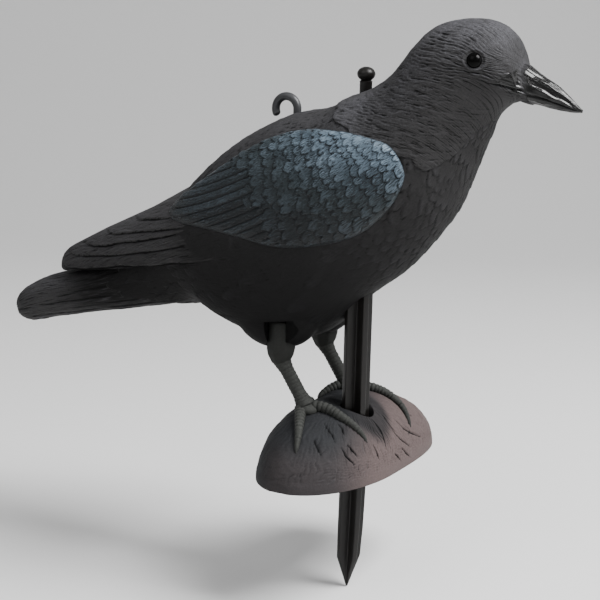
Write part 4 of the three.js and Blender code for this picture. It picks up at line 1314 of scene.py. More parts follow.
class MESH_OT_crow_beak(bpy.types.Operator):
    """Upper and lower beak with their lengthwise ridges"""

    bl_idname = "mesh.crow_beak"
    bl_label = "Beak"

    def execute(self, context):
        rows, arch, flat = 110, 64, 10
        share = np.linspace(0, 1, rows)[:, None]
        x, culmen, gape, chin, width = np.moveaxis(along(BEAK, share[:, 0]), -1, 0)[..., None]
        angle = np.linspace(0, np.pi, arch)[None, :]
        up = 2 * np.minimum(angle, np.pi - angle) / np.pi
        drift = up + 0.05 * ripple(share * 7, up, 71)
        broken = 0.6 * ripple(share * 4.5, angle * 10, 72)
        broken = broken + 0.45 * ripple(share * 10, angle * 22, 73)
        across = np.linspace(-1, 1, flat + 2)[None, 1:-1]
        hollow = 1 - across**2
        # its root lies inside the face
        root = 1 - 0.16 * smooth(0.22, 0.06, share)
        slim = 0.98 - 0.16 * smooth(0.35, 0.65, share)
        # the chin is matt near the throat
        matt = 0.85 * smooth(0.4, 0.75, drift) * smooth(0.85, 0.5, share)
        upper = (gape - BEAK_OVERLAP * (1 - share), culmen, width, BEAK_HOLLOW, 0, UPPER_RIDGES)
        lower = (gape + BEAK_OVERLAP, chin, width * slim, -BEAK_HOLLOW, matt, LOWER_RIDGES)
        for name, part in (("beak_upper", upper), ("beak_lower", lower)):
            base, far, half, dip, dull, ridges = part
            ridge = sum(height * hump(drift, place, reach) for height, place, reach in ridges)
            ridge = (ridge * (1.1 + 0.8 * broken) + 0.5 * broken) * smooth(1.0, 0.7, share)
            grow = (1 + 0.42 * (ridge - 0.2) / np.maximum(half, 1.5)) * root
            y, z = half * np.cos(angle) * grow, base + (far - base) * np.sin(angle) ** 0.8 * grow
            y = np.concatenate([y, half * across * grow[:, :1]], 1)
            z = np.concatenate([z, base + dip * hollow * smooth(0.0, 0.2, 1 - share)], 1)
            points = np.stack([np.broadcast_to(x, y.shape), y, z], -1)
            gloss = np.ones(y.shape)
            gloss[:, :arch] -= dull
            gloss = gloss * smooth(0.1, 0.26, share + 0.07 * ripple(share * 5, y / 0.9, 74))
            crosswise = points[..., 2] + STREAK_SLOPE * points[..., 0] - np.abs(points[..., 1])
            piece = loft_piece(
                name, [points], relief=0.5, gloss=[gloss], along=[points[..., 0]],
                across=[crosswise],
            )
            finish_piece(piece, head_material(), "charcoal_plastic", "crow_body")
        return {"FINISHED"}


class MESH_OT_crow_eyes(bpy.types.Operator):
    """Two glossy eyes"""

    bl_idname = "mesh.crow_eyes"
    bl_label = "Eyes"

    def execute(self, context):
        black = tinted(colour_settings().beak, 0.4)
        material = smooth_material(
            "Glossy black eye", black, black, 0.1, 0.05, bump=0.00001, specular=0.06
        )
        lift = np.array([EYE_STANDS_OUT - EYE_DIAMETER / 2])
        x, z = (np.array([place]) for place in EYE_PLACE)
        for name, side in (("eye_left", 1), ("eye_right", -1)):
            centre = on_skin(x, z, lift, side)[0]
            piece = loft_piece("glossy_" + name, [ball(centre, EYE_DIAMETER / 2, 56, 28)])
            finish_piece(piece, material, "eye_black", name)
        return {"FINISHED"}


# Wing pieces

# The pad's feathers run round a far centre, in rings from a starting direction
FLOW_CENTRE = (-151.0, 437.0)
FLOW_RADIUS = 300.0
FLOW_START = math.radians(-45.0)
SCALE_LENGTH = 5.1
SCALE_WIDTH = 4.1
SCALE_ROUNDNESS = 0.62
LONG_FEATHER_LENGTH = 90.0
LONG_FEATHER_WIDTH = 4.6
LONG_FEATHERS_FROM = 104.0
PAD_RIM = 6.5  # width of the slope at its edge


def pad_place(s, w):
    """Side-view place of a pad point: s from front to rear, w from above to below."""
    u = np.sin(np.pi / 2 * s) ** 2
    axis = PAD_REAR - PAD_FRONT
    size = np.hypot(*axis)
    across = along(PAD_ABOVE, s) * (1 - w) + along(PAD_BELOW, s) * w
    x = PAD_FRONT[0] + axis[0] * u + axis[1] / size * across
    z = PAD_FRONT[1] + axis[1] * u - axis[0] / size * across
    return x, z


def pad_relief(x, z):
    """Height of the pad's feathers over its smooth dome, their tone, and the places along and
    across them in millimetres."""
    dx, dz = x - FLOW_CENTRE[0], z - FLOW_CENTRE[1]
    a = FLOW_RADIUS * (FLOW_START - np.arctan2(dz, dx))
    b = np.hypot(dx, dz) - FLOW_RADIUS
    wander = 0.42 * ripple(a / 9, b / 9, 81) + 0.16 * ripple(a / 3.5, b / 3.5, 87)
    # the scales grow from front to rear
    spread = 1 - 0.0022 * np.clip(a, 0, 110)
    rows, columns = a * spread / SCALE_LENGTH + 0.6 * wander, b * spread / SCALE_WIDTH + wander
    scale, *scales = feathers(rows, columns, 82, roundness=SCALE_ROUNDNESS, uneven=0.6)
    # where each scale's tip lies decides whether it is one, so that the last row keeps its shape
    tip_a = a + scales[0] * (1 + SCALE_ROUNDNESS) * SCALE_LENGTH
    is_scale = tip_a < LONG_FEATHERS_FROM + 26 * (scales[2] - 0.5)
    rows, columns = (a - LONG_FEATHERS_FROM + 30) / LONG_FEATHER_LENGTH, b / LONG_FEATHER_WIDTH
    long_h, *longs = feathers(rows + 3.0, columns + 0.4, 83, roundness=0.14, uneven=0.12)
    # each long feather overlaps the next one down, with a dark line between them, partly painted
    # shade
    below = longs[1]
    between = hump(np.abs(below), 0.5, 0.1)
    long_h = 0.5 * long_h + 0.3 * smooth(-0.5, -0.3, below) * (0.5 - below) - 0.45 * between
    tip, place, own = (np.where(is_scale, s, f) for s, f in zip(scales, longs))
    # barbs fan out from the root of each feather to its edge
    fan = place * np.where(is_scale, 3.2, 2.2) * (1 + 0.3 * (1 - tip)) + 5 * own
    fan = fan + 0.4 * ripple(a / 2.2, b / 1.6, 88)
    fringe = np.sin(2 * np.pi * fan) * (0.4 + 0.6 * ripple(a / 2.4, b / 1.0, 85))
    height = np.where(is_scale, 0.35 + 0.9 * scale, long_h) + 0.2 * fringe
    # painted shade, partly dark paint: the scales' tips and the lines between feathers are darker
    tone = np.where(is_scale, 0.2 + 0.66 * scale, 0.38 + 0.75 * long_h - 0.45 * between)
    tone = tone + 0.36 * fringe - 0.35 * hump(tip, 0, 0.09)
    return height, tone + 0.3 * (own - 0.5), a, b


class MESH_OT_crow_wing_pads(bpy.types.Operator):
    """The two raised wing pads of scale feathers"""

    bl_idname = "mesh.crow_wing_pads"
    bl_label = "Wing pads"

    def build(self, name, side, rows, outer, inner=8):
        depth = relief_settings().pad_depth / MM
        s = PAD_MARGIN + (1 - 2 * PAD_MARGIN) * np.linspace(0, 1, rows)[:, None]
        # points crowd to the rim so that its edge is crisp
        w = np.linspace(0, 1, outer)[None, :]
        s, w = np.broadcast_arrays(s, w - 0.045 * np.sin(2 * np.pi * w))
        x, z = pad_place(s, w)
        height, tone, a, b = pad_relief(x, z)
        below, above = (np.array(pad_place(s, np.full_like(s, end))) for end in (1, 0))
        width = np.hypot(*(below - above))
        edge = np.minimum(np.minimum(w, 1 - w) * width, 60 * np.minimum(s, 1 - s) + 0.001)
        edge = edge + 0.5 * ripple(a / 4, b / 4, 86) * smooth(0, 2, edge)
        dome = np.sqrt(np.maximum(0, 1 - (1 - np.clip(edge / PAD_RIM, 0, 1)) ** 2))
        lift = (PAD_THICKNESS - 0.5) * dome + height * depth * smooth(0, 3.5, edge)
        # painted sheen: the blue is lightest at the upper front, and darker below as painted shade
        high = smooth(215, 150, np.hypot(x - 60, (z - 225) * 1.9) + 105)
        reach = np.hypot(np.maximum(0, 62 - x) * 0.55, np.maximum(0, 205 - z) * 1.35)
        painted_sheen = np.clip(0.75 * np.clip(1.25 - reach / 62, 0, 1) + 0.25 * high, 0, 1)
        w_in = np.broadcast_to(np.linspace(1, 0, inner)[None, :], (rows, inner))
        x_in, z_in = pad_place(s[:, :inner], w_in)
        back = on_skin(x_in, z_in, np.full(x_in.shape, -PAD_ROOT), side)
        rings = np.concatenate([on_skin(x, z, lift, side), back], 1)
        # painted shade: the tone falls to the dark crevice colour along the pad's rim
        layers = {"relief": tone * smooth(0, 1.5, edge), "painted_sheen": painted_sheen, "along": a, "across": b}
        rest = np.zeros(x_in.shape)
        layers = {key: [np.concatenate([layer, rest], 1)] for key, layer in layers.items()}
        return loft_piece(name, [rings], **layers)

    def execute(self, context):
        material = pad_material(colour_settings())
        for name, side, rows, outer in (
            ("wing_pad_right", -1, 400, 172), ("wing_pad_left", 1, 230, 100),
        ):
            pad = self.build(name, side, rows, outer)
            finish_piece(pad, material, "charcoal_plastic", "crow_body")
        return {"FINISHED"}


# Lower edges of the folded flight feathers in side view, from the lowest up, as x and z from
# tip to front. Each rises at the rear to the wing's upper edge, over its hook's length.
WING_LINES = (
    ((-186, 104.5), (-172, 106.2), (-127.6, 114.6), (-82.6, 122.8), (-11.8, 134.4)),
    ((-176.7, 114.6), (-140.4, 119.3), (-83.3, 131.7), (-42.1, 142.1)),
    ((-163, 122), (-146, 125), (-84.9, 139.2), (-69.1, 144.2)),
    ((-142, 132), (-110, 138.4), (-69.6, 146.1)),
    ((-118, 144), (-108, 146), (-89, 149.2)),
)
WING_HOOKS = (9.0, 17.0, 19.0, 19.0, 17.0)
WING_STRAND_SLOPE = 0.2


def wing_relief(x, z, top):
    """Height of the folded flight feathers over the wing's smooth side, and their tone."""
    height, groove_sum, lip_sum = np.zeros_like(x), np.zeros_like(x), np.zeros_like(x)
    for k, (line, hook) in enumerate(zip(WING_LINES, WING_HOOKS)):
        line = np.array(line, float)
        (tip, _), (front, _) = line[0], line[-1]
        slope = (line[-1, 1] - line[-2, 1]) / (line[-1, 0] - line[-2, 0])
        edge = np.interp(x, line[:, 0], line[:, 1]) + slope * np.maximum(0, x - front)
        edge = edge + 0.5 * ripple(x / 16, np.full_like(x, 3.0 * k), 91)
        near = np.clip((x - tip + hook * 0.6) / hook, 0, 1)
        edge = edge + (top - edge) * (1 - np.sqrt(1 - (1 - near) ** 2))
        above = np.where(x < tip - hook * 0.6, -20, z - edge)
        shown = smooth(front + 14, front - 14, x)
        dark = shown * (0.25 + 0.75 * smooth(tip - 6, tip + 14, x))
        height = height + 0.5 * smooth(-0.5, 0.7, above) * shown
        groove_sum = np.maximum(groove_sum, hump(above, -0.6, 0.6) * dark)
        lip = smooth(-0.3, 0.8, above) * np.exp(-np.maximum(above, 0) / 4.0) * dark
        lip_sum = np.maximum(lip_sum, lip)
    groove, lip = strokes(x, z - WING_STRAND_SLOPE * x, 2.2, 13, 95)
    coarse, coarse_lip = strokes(x, z - 0.22 * x, 4.4, 26, 96)
    relief = 0.5 * height + 0.6 * lip_sum - 0.75 * groove_sum + 0.1 * lip - 0.18 * groove
    relief = relief + 0.12 * coarse_lip - 0.3 * coarse + 0.12 * ripple(x / 9, z / 4, 93)
    # painted shade, partly dark paint: darker in the grooves under each feather's edge
    tone = 0.5 + 0.2 * lip_sum - 0.5 * groove_sum + 0.1 * lip - 0.14 * groove - 0.2 * coarse
    return relief, tone


class MESH_OT_crow_flight_feathers(bpy.types.Operator):
    """The folded flight feathers, in layers stepped back to the tips"""

    bl_idname = "mesh.crow_flight_feathers"
    bl_label = "Flight feathers"

    def build(self, name, side, rows, outer, inner=8, back=3):
        step = relief_settings().layer_step / MM
        f = np.linspace(0, 1, outer)[None, :] ** 0.9
        x = WING_TIP + (WING[-1, 0] - WING_TIP) * np.linspace(0, 1, rows)[:, None] ** 1.2
        x, f = np.broadcast_arrays(x, f)
        top, low, reach = (np.interp(x, WING[:, 0], WING[:, k]) for k in (1, 2, 3))
        height = low + (top - low) * f
        relief, tone = wing_relief(x, height, top)
        relief = (relief - 0.2) * step * smooth(0, 0.06, 1 - f)
        bulge = np.maximum(0, 1 - f * f) ** 0.45
        # the lower front sinks into the body
        front = smooth(-100, -45, x) * smooth(0.75, 0.3, f)
        out = WING_RIDGE + (reach - WING_RIDGE) * bulge + relief * (1 - 0.7 * front) - 2.2 * front
        height = height + 0.25 * relief * f
        x_edge, top_edge, low_edge = x[:, :1], top[:, :1], low[:, :1]
        # over the upper edge and down behind it
        inside_y = np.linspace(WING_RIDGE, -WING_OVERLAP, inner + 1)[1:]
        inside_y = np.broadcast_to(inside_y, (rows, inner))
        inside_z = top_edge - np.linspace(0, WING_THICKNESS, inner + 1)[1:]
        inside_z = inside_z + 0.3 * ripple(x[:, :inner] / 9, inside_y / 2.5 + 9, 94)
        back_y = np.full((rows, back), -WING_OVERLAP)
        back_z = low_edge + (top_edge - low_edge) * np.array([0.5, 0.25, 0.0])[None, :]
        y = np.concatenate([out, inside_y, back_y], 1)
        z = np.concatenate([height, inside_z, back_z], 1)
        x = np.broadcast_to(x_edge, y.shape)
        # the tip is rounded
        end = np.clip((x_edge - WING_TIP) / WING_TIP_ROUNDING, 0, 1)
        shrink = np.maximum(0.01, 1 - (1 - end) ** 2) ** 0.6
        middle = 0.6 * top_edge + 0.4 * low_edge
        z = middle + (z - middle) * shrink
        y = y * (0.2 + 0.8 * shrink)
        hidden = (rows, inner + back)
        tone = np.concatenate([tone, np.full(hidden, 0.4)], 1)
        # painted shade: the lower part takes on the darker body colour
        front = np.maximum(front, 0.5 * smooth(0.35, 0.0, f))
        front = np.concatenate([front, np.zeros(hidden)], 1)
        return loft_piece(
            name, [np.stack([x, y * side, z], -1)], relief=[tone], other=[front], along=[x],
            across=[z - WING_STRAND_SLOPE * x - np.abs(y)],
        )

    def execute(self, context):
        c = colour_settings()
        # painted shade: low darkens the lower feathers; other is the body colour, taken at the
        # front and, as painted shade, low down
        material = feather_material(
            "Brown-grey flight feathers", c.flight, c.crevice, tinted(c.flight, 1.5), c.dust,
            dust=0.45, low=0.3, other=tinted(c.body, 0.42), strands=(15.0, 0.8, 0.35),
        )
        for name, side, rows, outer in (
            ("flight_feathers_right", -1, 320, 120), ("flight_feathers_left", 1, 190, 70),
        ):
            wing = self.build(name, side, rows, outer)
            finish_piece(wing, material, "charcoal_plastic", "crow_body")
        return {"FINISHED"}


# Mound, legs and feet


def footprint(angle):
    """How far the mound reaches from its middle in each direction."""
    c, s = np.cos(angle), np.sin(angle)
    a = np.abs(c) / np.where(c > 0, MOUND_FRONT, MOUND_REAR)
    b = np.abs(s) / np.where(s > 0, MOUND_LEFT, MOUND_RIGHT)
    power = np.where(s > 0, LEFT_FULLNESS, RIGHT_FULLNESS)
    return (a**power + b**power) ** (-1 / power)


def mound_share(x, y):
    """Share of the way from the mound's middle to its edge."""
    dx = x - MOUND_X
    return np.minimum(1, np.hypot(dx, y) / footprint(np.arctan2(y, dx)))


def mound_height(x, y):
    """Height of the smooth mound, with the saddle behind the feet."""
    away = np.hypot(x - SADDLE_PLACE[0], y - SADDLE_PLACE[1]) / SADDLE_REACH
    summit = MOUND_HEIGHT - SADDLE_DEPTH * np.exp(-(away**2))
    return summit * np.sqrt(1 - mound_share(x, y) ** 2)


# Slits in the mound's front, as places in plan from above downwards.
MOUND_SLITS = (
    ((37.2, -2.0), (42.3, -1.0), (45.7, -1.4), (48.6, -3.0)),
    ((39.3, 19.8), (45.2, 25.0), (47.9, 36.2), (48.9, 49.9)),
    ((35.3, 36.5), (39.3, 40.0), (42.4, 45.7)),
    ((43.6, 11.3), (47.4, 15.9), (49.2, 22.2), (50.3, 28.5)),
    ((49.7, 15.7), (50.7, 20.5), (51.2, 26.5)),
    ((37.7, -33.4), (40.3, -32.5), (42.9, -31.0)),
    ((21.2, -34.3), (26.0, -36.8), (29.7, -38.0), (32.4, -40.0)),
    ((27.1, -28.3), (31.0, -29.1), (34.3, -31.6)),
    ((33.0, 60.5), (36.8, 60.9), (43.1, 59.9)),
    ((38.2, 11.6), (42.7, 12.3), (46.4, 16.2)),
    ((45.0, -15.2), (47.5, -13.8), (49.0, -13.5)),
    ((50.1, 6.1), (51.2, 12.3)),
    ((21.5, -47.0), (25.5, -49.9), (29.3, -51.2)),
    ((35.7, -38.3), (39.6, -38.2), (43.3, -34.9)),
)


def slit_depth(grid):
    """Depth 0..1 of the mound's slits, sharpest in the middle of each."""
    depth = np.zeros(grid.shape[:2])
    for slit in MOUND_SLITS:
        plan = along(np.array(slit, float), np.linspace(0, 1, 12))
        path = np.concatenate([plan, mound_height(plan[:, 0], plan[:, 1])[:, None]], 1)
        for i, (start, end) in enumerate(zip(path[:-1], path[1:])):
            way = end - start
            t = np.clip(((grid - start) @ way) / (way @ way), 0, 1)
            away = np.linalg.norm(grid - start - t[..., None] * way, axis=-1)
            taper = math.sin(math.pi * (i + 0.5) / (len(path) - 1)) ** 0.5
            depth = np.maximum(depth, taper * hump(away, 0, 0.2 + 0.2 * taper))
    return depth


def framed(grid, before, after):
    """A grid of values with four rows of a constant before it and after it."""
    shape = (4, grid.shape[1])
    return np.concatenate([np.full(shape, before), grid, np.full(shape, after)])


# Levels of the rings on the wall of the hole
MOUND_WALL = (0.0, 9.0, 18.0, 27.0)


def mound_surface(rim, base, t):
    """The mound's smooth outside from the rim of its hole to its base, and where its dish is."""
    hole_x, hole = STAKE_X + MOUND_HOLE_LEAD, MOUND_HOLE_DIAMETER / 2
    x, y = np.moveaxis(rim + (base - rim) * np.sin(np.pi / 2 * t)[..., None], -1, 0)
    away = np.hypot(x - hole_x, y)
    slope = (DISH_DIAMETER / 2 - hole) / (2 * DISH_DEPTH)
    rim_z = float(mound_height(np.array(hole_x), np.array(0.0)))
    dish = rim_z - DISH_DEPTH + (away - hole) / slope
    z = -np.log(np.exp(-mound_height(x, y) / DISH_EASE) + np.exp(-dish / DISH_EASE))
    z = np.where(t >= 1, 0, np.maximum(z * DISH_EASE, 0))
    in_dish = smooth(DISH_DIAMETER / 2 + 5, DISH_DIAMETER / 2 - 3, away)
    return np.stack([x, y, z], -1), in_dish


def mound_relief(grid, in_dish):
    """Height of the mound's creases, lumps and slits, their tone, and where painted light falls
    warm on it.
    """
    x, y, z = np.moveaxis(grid, -1, 0)
    arc = np.arctan2(y, x - MOUND_X) * 45
    swirl = 4 * ripple(x / 16, y / 16, 106) + 1.5 * ripple(x / 6, z / 6 + y / 9, 108)
    wrinkle, wrinkle_lip = strokes(arc, z + swirl, 1.7, 5, 107)
    crease, crease_lip = strokes(z * 1.3, arc + 1.2 * swirl, 2.6, 15, 110)
    slit = slit_depth(grid)
    # wrinkles low on the front, and pleats that run down
    near = smooth(-14, 8, x)
    cloth = smooth(30, 14, z) * near * (0.5 + 0.5 * ripple(x / 9, z / 9, 111))
    pleats = smooth(0.25, 0.5, mound_share(x, y)) * near * smooth(2, 12, z)
    lumps = ripple(x / 8, y / 8, 104)
    relief = cloth * (0.2 * wrinkle_lip - 0.4 * wrinkle)
    relief = relief + pleats * (0.25 * crease_lip - 0.45 * crease)
    relief = relief * (1 - in_dish) + 0.25 * lumps * (1 - 0.6 * in_dish)
    relief = relief + 0.08 * ripple(x / 2.4, y / 2.4 + z / 3, 105) - 1.4 * slit
    # painted shade: darker in the dish under the body, in the slits and in the creases' grooves
    tone = 0.5 - 0.24 * in_dish + cloth * (0.2 * wrinkle_lip - 0.25 * wrinkle)
    tone = tone + pleats * (0.15 * crease_lip - 0.3 * crease) - 0.75 * slit + 0.08 * lumps
    # painted light: lighter and pinkish towards the front, where the light falls, less in the dish
    painted_light = smooth(16, 52, x + 0.35 * y) * (1 - 0.75 * in_dish) + 0.2 * near * smooth(30, 14, z)
    return relief, tone, np.minimum(painted_light, 1)


class MESH_OT_crow_mound(bpy.types.Operator):
    """The creased mound with its stake hole"""

    bl_idname = "mesh.crow_mound"
    bl_label = "Mound"

    def execute(self, context):
        rows, columns = 120, 470
        # columns crowd towards the near front, where the creases are
        angle = turns(columns)[None, :]
        angle = angle - 0.5 * np.sin(angle + 0.4)
        round_ = np.stack([np.cos(angle), np.sin(angle)], -1)
        rim = MOUND_HOLE_DIAMETER / 2 * round_ + [STAKE_X + MOUND_HOLE_LEAD, 0]
        base = footprint(angle)[..., None] * round_ + [MOUND_X, 0]
        t = np.linspace(0, 1, rows)[:, None]
        grid, in_dish = mound_surface(rim, base, t)
        relief, tone, painted_light = mound_relief(grid, in_dish)
        share = mound_share(grid[..., 0], grid[..., 1])
        lift = (relief - 0.25) * (relief_settings().crease_depth / MM)
        lift = lift * smooth(1.0, 0.985, share) * smooth(0, 0.04, t)
        out = normals_of(grid)
        out = out * np.sign(out[..., 2:3].mean())
        grid = grid + out * lift[..., None]
        grid[..., 2] = np.maximum(grid[..., 2], 0)
        grid[-1, :, 2] = 0
        # the wall of the hole, the outside, and the underside back to the wall
        wall = [np.insert(rim[0], 2, level, axis=1) for level in MOUND_WALL]
        under = [base[0] + (rim[0] - base[0]) * k for k in (0.25, 0.5, 0.75)]
        under = [np.insert(ring, 2, 0, axis=1) for ring in under]
        points = np.concatenate([wall, grid, under]).reshape(-1, 3)
        faces = grid_faces(rows + 8, columns) % len(points)
        # painted shade: the wall of the stake hole is dark, the underside less so
        layers = {"relief": framed(tone, 0.1, 0.3)[:-1], "other": framed(painted_light, 0, 0)[:-1]}
        mound = new_piece("mound", points, outward(points, [faces]), layers)
        c = colour_settings()
        # painted light: other is the pinkish light on the mound's front
        material = feather_material(
            "Creased grey mound", c.mound, tinted(c.mound, 0.3), tinted(c.mound, 1.7),
            tinted(c.mound, 2.2), dust=0.22, other=c.mound_lit_front, roughness=0.6,
        )
        finish_piece(mound, material, "mound_grey_plastic", "legs_and_mound")
        return {"FINISHED"}


def leg_rings(side):
    """Peg and ringed shank of one leg, and the shank's rings."""
    y = HIP_SPREAD / 2 * side
    hip_x, hip_z = HIP
    heel, top, waist = hip_z - HEEL_BELOW_HIP, hip_z + PEG_RISE, hip_z - PEG_WAIST
    angle = turns(48)
    octagon = np.cos(np.pi / 8) / np.cos(np.mod(angle, np.pi / 4) - np.pi / 8)
    octagon = 1 - (1 - octagon) * 0.8
    radius = PEG_ACROSS / 2
    levels = np.array([
        (heel - 1.5, HEEL_DIAMETER / 2 * 0.55),
        (heel, HEEL_DIAMETER / 2 * 0.92),
        (waist, radius * PEG_TAPER),
        (waist + PEG_WAIST_RISE, radius),
        (top - 0.8, radius * PEG_TAPER),
        (top, radius * 0.82),
        (top, radius * 0.4),
    ])
    at, known = np.linspace(0, len(levels) - 1, 50), np.arange(len(levels))
    levels = np.stack([np.interp(at, known, values) for values in levels.T], 1)
    peg = round_rings(levels, hip_x, y, angle, octagon)
    share = np.linspace(0, 1, 130)
    start = np.array([hip_x, y, heel + TARSUS_OVERLAP])
    end = np.array([ANKLE_X, y, ANKLE_HEIGHT - TARSUS_OVERLAP])
    flare = np.maximum(0, share - 0.75) / 0.65 + np.maximum(0, 0.25 - share) * 1.4
    bead = scutes(share * 13, 41 + side)
    radii = TARSUS_DIAMETER / 2 * (1 + flare + bead)
    return peg, bar_rings(start + (end - start) * share[:, None], radii, 34), bead


def scutes(place, seed):
    """Uneven shallow rings, one to each unit of place."""
    place = place + 0.25 * ripple(place / 2, place * 0, seed)
    cell = np.floor(place).astype(int)
    return (np.abs(np.sin(np.pi * place)) ** 0.5 - 0.75) * (0.04 + 0.08 * chance(cell, cell, seed))


def toe_rings(route, side):
    """One ringed toe that ends in a smooth claw, and its rings."""
    share = np.linspace(0, 1, 130)
    plan = along(np.array(route, float), share)
    x, y = ANKLE_X + plan[:, 0], (HIP_SPREAD / 2 + plan[:, 1]) * side
    taper = share**1.5
    radius = (TOE_DIAMETER * (1 - taper) + TOE_TIP_DIAMETER * taper) / 2
    reach = np.hypot(np.diff(x), np.diff(y)).sum()
    rings = SCUTE_LENGTH * scutes(share * reach / SCUTE_LENGTH, 45)
    bead = np.where(share < CLAW_FROM, rings, -0.05)
    z = mound_height(x, y) + radius * (TOE_RAISED - smooth(CLAW_FROM, 1.0, share))
    blunt = np.sqrt(np.maximum(0.02, 1 - smooth(0.9, 1.0, share) ** 2 * 0.98))
    return bar_rings(np.stack([x, y, z], -1), radius * (1 + bead) * blunt, 24), bead


class MESH_OT_crow_legs(bpy.types.Operator):
    """Legs with their pegs, shanks and toes"""

    bl_idname = "mesh.crow_legs"
    bl_label = "Legs and toes"

    def execute(self, context):
        c = colour_settings()
        material = feather_material(
            "Olive grey legs", c.legs, tinted(c.legs, 0.25), tinted(c.legs, 2.1),
            tinted(c.legs, 2.4), dust=0.5, roughness=0.55,
        )
        for name, side, toes in (("leg_left", 1, LEFT_TOES), ("leg_right", -1, RIGHT_TOES)):
            peg, shank, bead = leg_rings(side)
            # painted shade: the pegs up in their pockets are darker, and so are the grooves between
            # scutes
            parts = [(peg, 0.25), (shank, 0.42 + 2.0 * bead[:, None])]
            for route in toes:
                rings, bead = toe_rings(route, side)
                parts.append((rings, 0.5 + 2.5 * bead[:, None]))
            y = HIP_SPREAD / 2 * side
            z = float(mound_height(np.array(ANKLE_X), np.array(y)))
            root = np.array([ANKLE_X + 0.5, y, z + 0.6])
            parts.append((ball(root, FOOT_ROOT_REACH, 40, 20), 0.5))
            lofts = [rings for rings, _ in parts]
            tones = [np.broadcast_to(tone, rings.shape[:2]) for rings, tone in parts]
            leg = loft_piece(name, lofts, relief=tones)
            finish_piece(leg, material, "mound_grey_plastic", "legs_and_mound")
        return {"FINISHED"}


# Stake and hook


def stake_ring(z, reach, thickness, set_back):
    """One cross-shaped ring of the stake, its corners slightly rounded."""
    t = thickness / 2
    corners = np.array([
        (reach, -t), (reach, t), (t, t), (t, reach), (-t, reach), (-t, t),
        (-reach, t), (-reach, -t), (-t, -t), (-t, -reach), (t, -reach), (t, -t),
    ], float)
    soft = min(0.7, t * 0.6)
    before, after = (np.roll(corners, way, 0) - corners for way in (1, -1))
    for way in (before, after):
        size = np.hypot(way[:, 0], way[:, 1])
        way *= (np.minimum(soft, size * 0.45) / np.maximum(size, 1e-6))[:, None]
    k = np.linspace(0, 1, 5)[None, :, None]
    rounded = corners[:, None] + before[:, None] * (1 - k) ** 2 + after[:, None] * k**2
    x, y = rounded.reshape(-1, 2).T
    c, s = math.cos(math.radians(STAKE_TURN)), math.sin(math.radians(STAKE_TURN))
    return np.stack([STAKE_X - set_back + x * c - y * s, x * s + y * c, np.full(len(x), z)], -1)


class MESH_OT_crow_stake(bpy.types.Operator):
    """The cross-shaped stake with its round neck and knob"""

    bl_idname = "mesh.crow_stake"
    bl_label = "Stake"

    def execute(self, context):
        shoulder = back_height(STAKE_X) - STAKE_SHOULDER_DEPTH
        tip, reach, t = -STAKE_BELOW_MOUND, STAKE_RIB_REACH, STAKE_RIB_THICKNESS
        back = STAKE_TIP_SET_BACK
        cross = np.array([stake_ring(*level) for level in (
            (tip, 0.5, 0.6, back),
            (tip + STAKE_POINT_LENGTH * 0.5, reach * 0.46, t * 0.6, back * 0.86),
            (tip + STAKE_POINT_LENGTH, reach * 0.88, t * 0.8, back * 0.72),
            (tip / 2, reach * 0.95, t * 0.9, back * 0.4),
            (0, reach, t, 0),
            (shoulder / 2, reach, t, 0),
            (shoulder, reach, t, 0),
        )])
        knob_z = back_height(STAKE_X) + STAKE_NECK_SHOWN
        neck, knob = STAKE_NECK_DIAMETER / 2, KNOB_DIAMETER / 2
        profile = [(shoulder - 2, neck), (knob_z - 0.6, neck), (knob_z, neck + 0.2)]
        for k in np.linspace(-0.42, 0.49, 18):
            profile.append((knob_z + KNOB_HEIGHT * (k + 0.5), knob * math.cos(k * np.pi) ** 0.42))
        stake = loft_piece("stake_black", [cross, round_rings(profile, STAKE_X, 0, turns(48))])
        stake.data.set_sharp_from_angle(angle=math.radians(STAKE_EDGE_ANGLE))
        c = colour_settings()
        material = smooth_material(
            "Black-brown stake", c.stake, c.stake_scuff, 0.2, 0.28, specular=0.22
        )
        finish_piece(stake, material, "stake_black_plastic", "stake")
        return {"FINISHED"}


class MESH_OT_crow_hook(bpy.types.Operator):
    """The hanging hook on the back"""

    bl_idname = "mesh.crow_hook"
    bl_label = "Hook"

    def execute(self, context):
        radius = (HOOK_LOOP - HOOK_WIRE) / 2
        back_z = back_height(HOOK_X)
        stem_top = np.array([HOOK_X, 0, back_z + HOOK_STEM_SHOWN])
        foot = np.array([HOOK_X, 0, back_z - HOOK_DEPTH])
        points = [foot + (stem_top - foot) * k for k in np.linspace(0, 1, 12)[:-1]]
        for angle in np.radians(np.linspace(0, HOOK_SWEEP, 60)):
            bend = np.array([math.cos(angle) - 1, 0, math.sin(angle)])
            points.append(stem_top + radius * bend)
        radii = np.full(len(points), HOOK_WIRE / 2)
        radii[-4:] *= [0.98, 0.92, 0.78, 0.45]
        radii[0] *= 0.6
        hook = loft_piece("hook_grey", [bar_rings(points, radii, 28)])
        c = colour_settings()
        material = smooth_material("Grey hook", c.hook, c.hook_scuff, 0.5, 0.34, metallic=0.35)
        finish_piece(hook, material, "hook_grey", "hanging_hook")
        return {"FINISHED"}


# Stage

# Area lights: name, place to the right of the aim, towards the camera and above, width, height
LIGHTS = (
    ("key", 0.75, 0.35, 1.05, 0.7, 0.7),
    ("side", 1.25, 0.25, 0.35, 0.5, 0.9),
    ("left", -0.9, 0.9, 1.1, 1.2, 1.2),
)
LIGHTS_AIM = Vector((0.03, 0, 0.03))  # from the camera's aim
FLOOR_BELOW_STAKE = 0.5
FLOOR_HALF_WIDTH = 4.0
FLOOR_TO_CAMERA = 3.0
SWEEP_FROM = 1.2  # behind the aim
SWEEP_RADIUS = 1.2
BACKDROP_HEIGHT = 4.0
LENS = 90
SENSOR_WIDTH = 36
NEAR_CLIP = 0.01


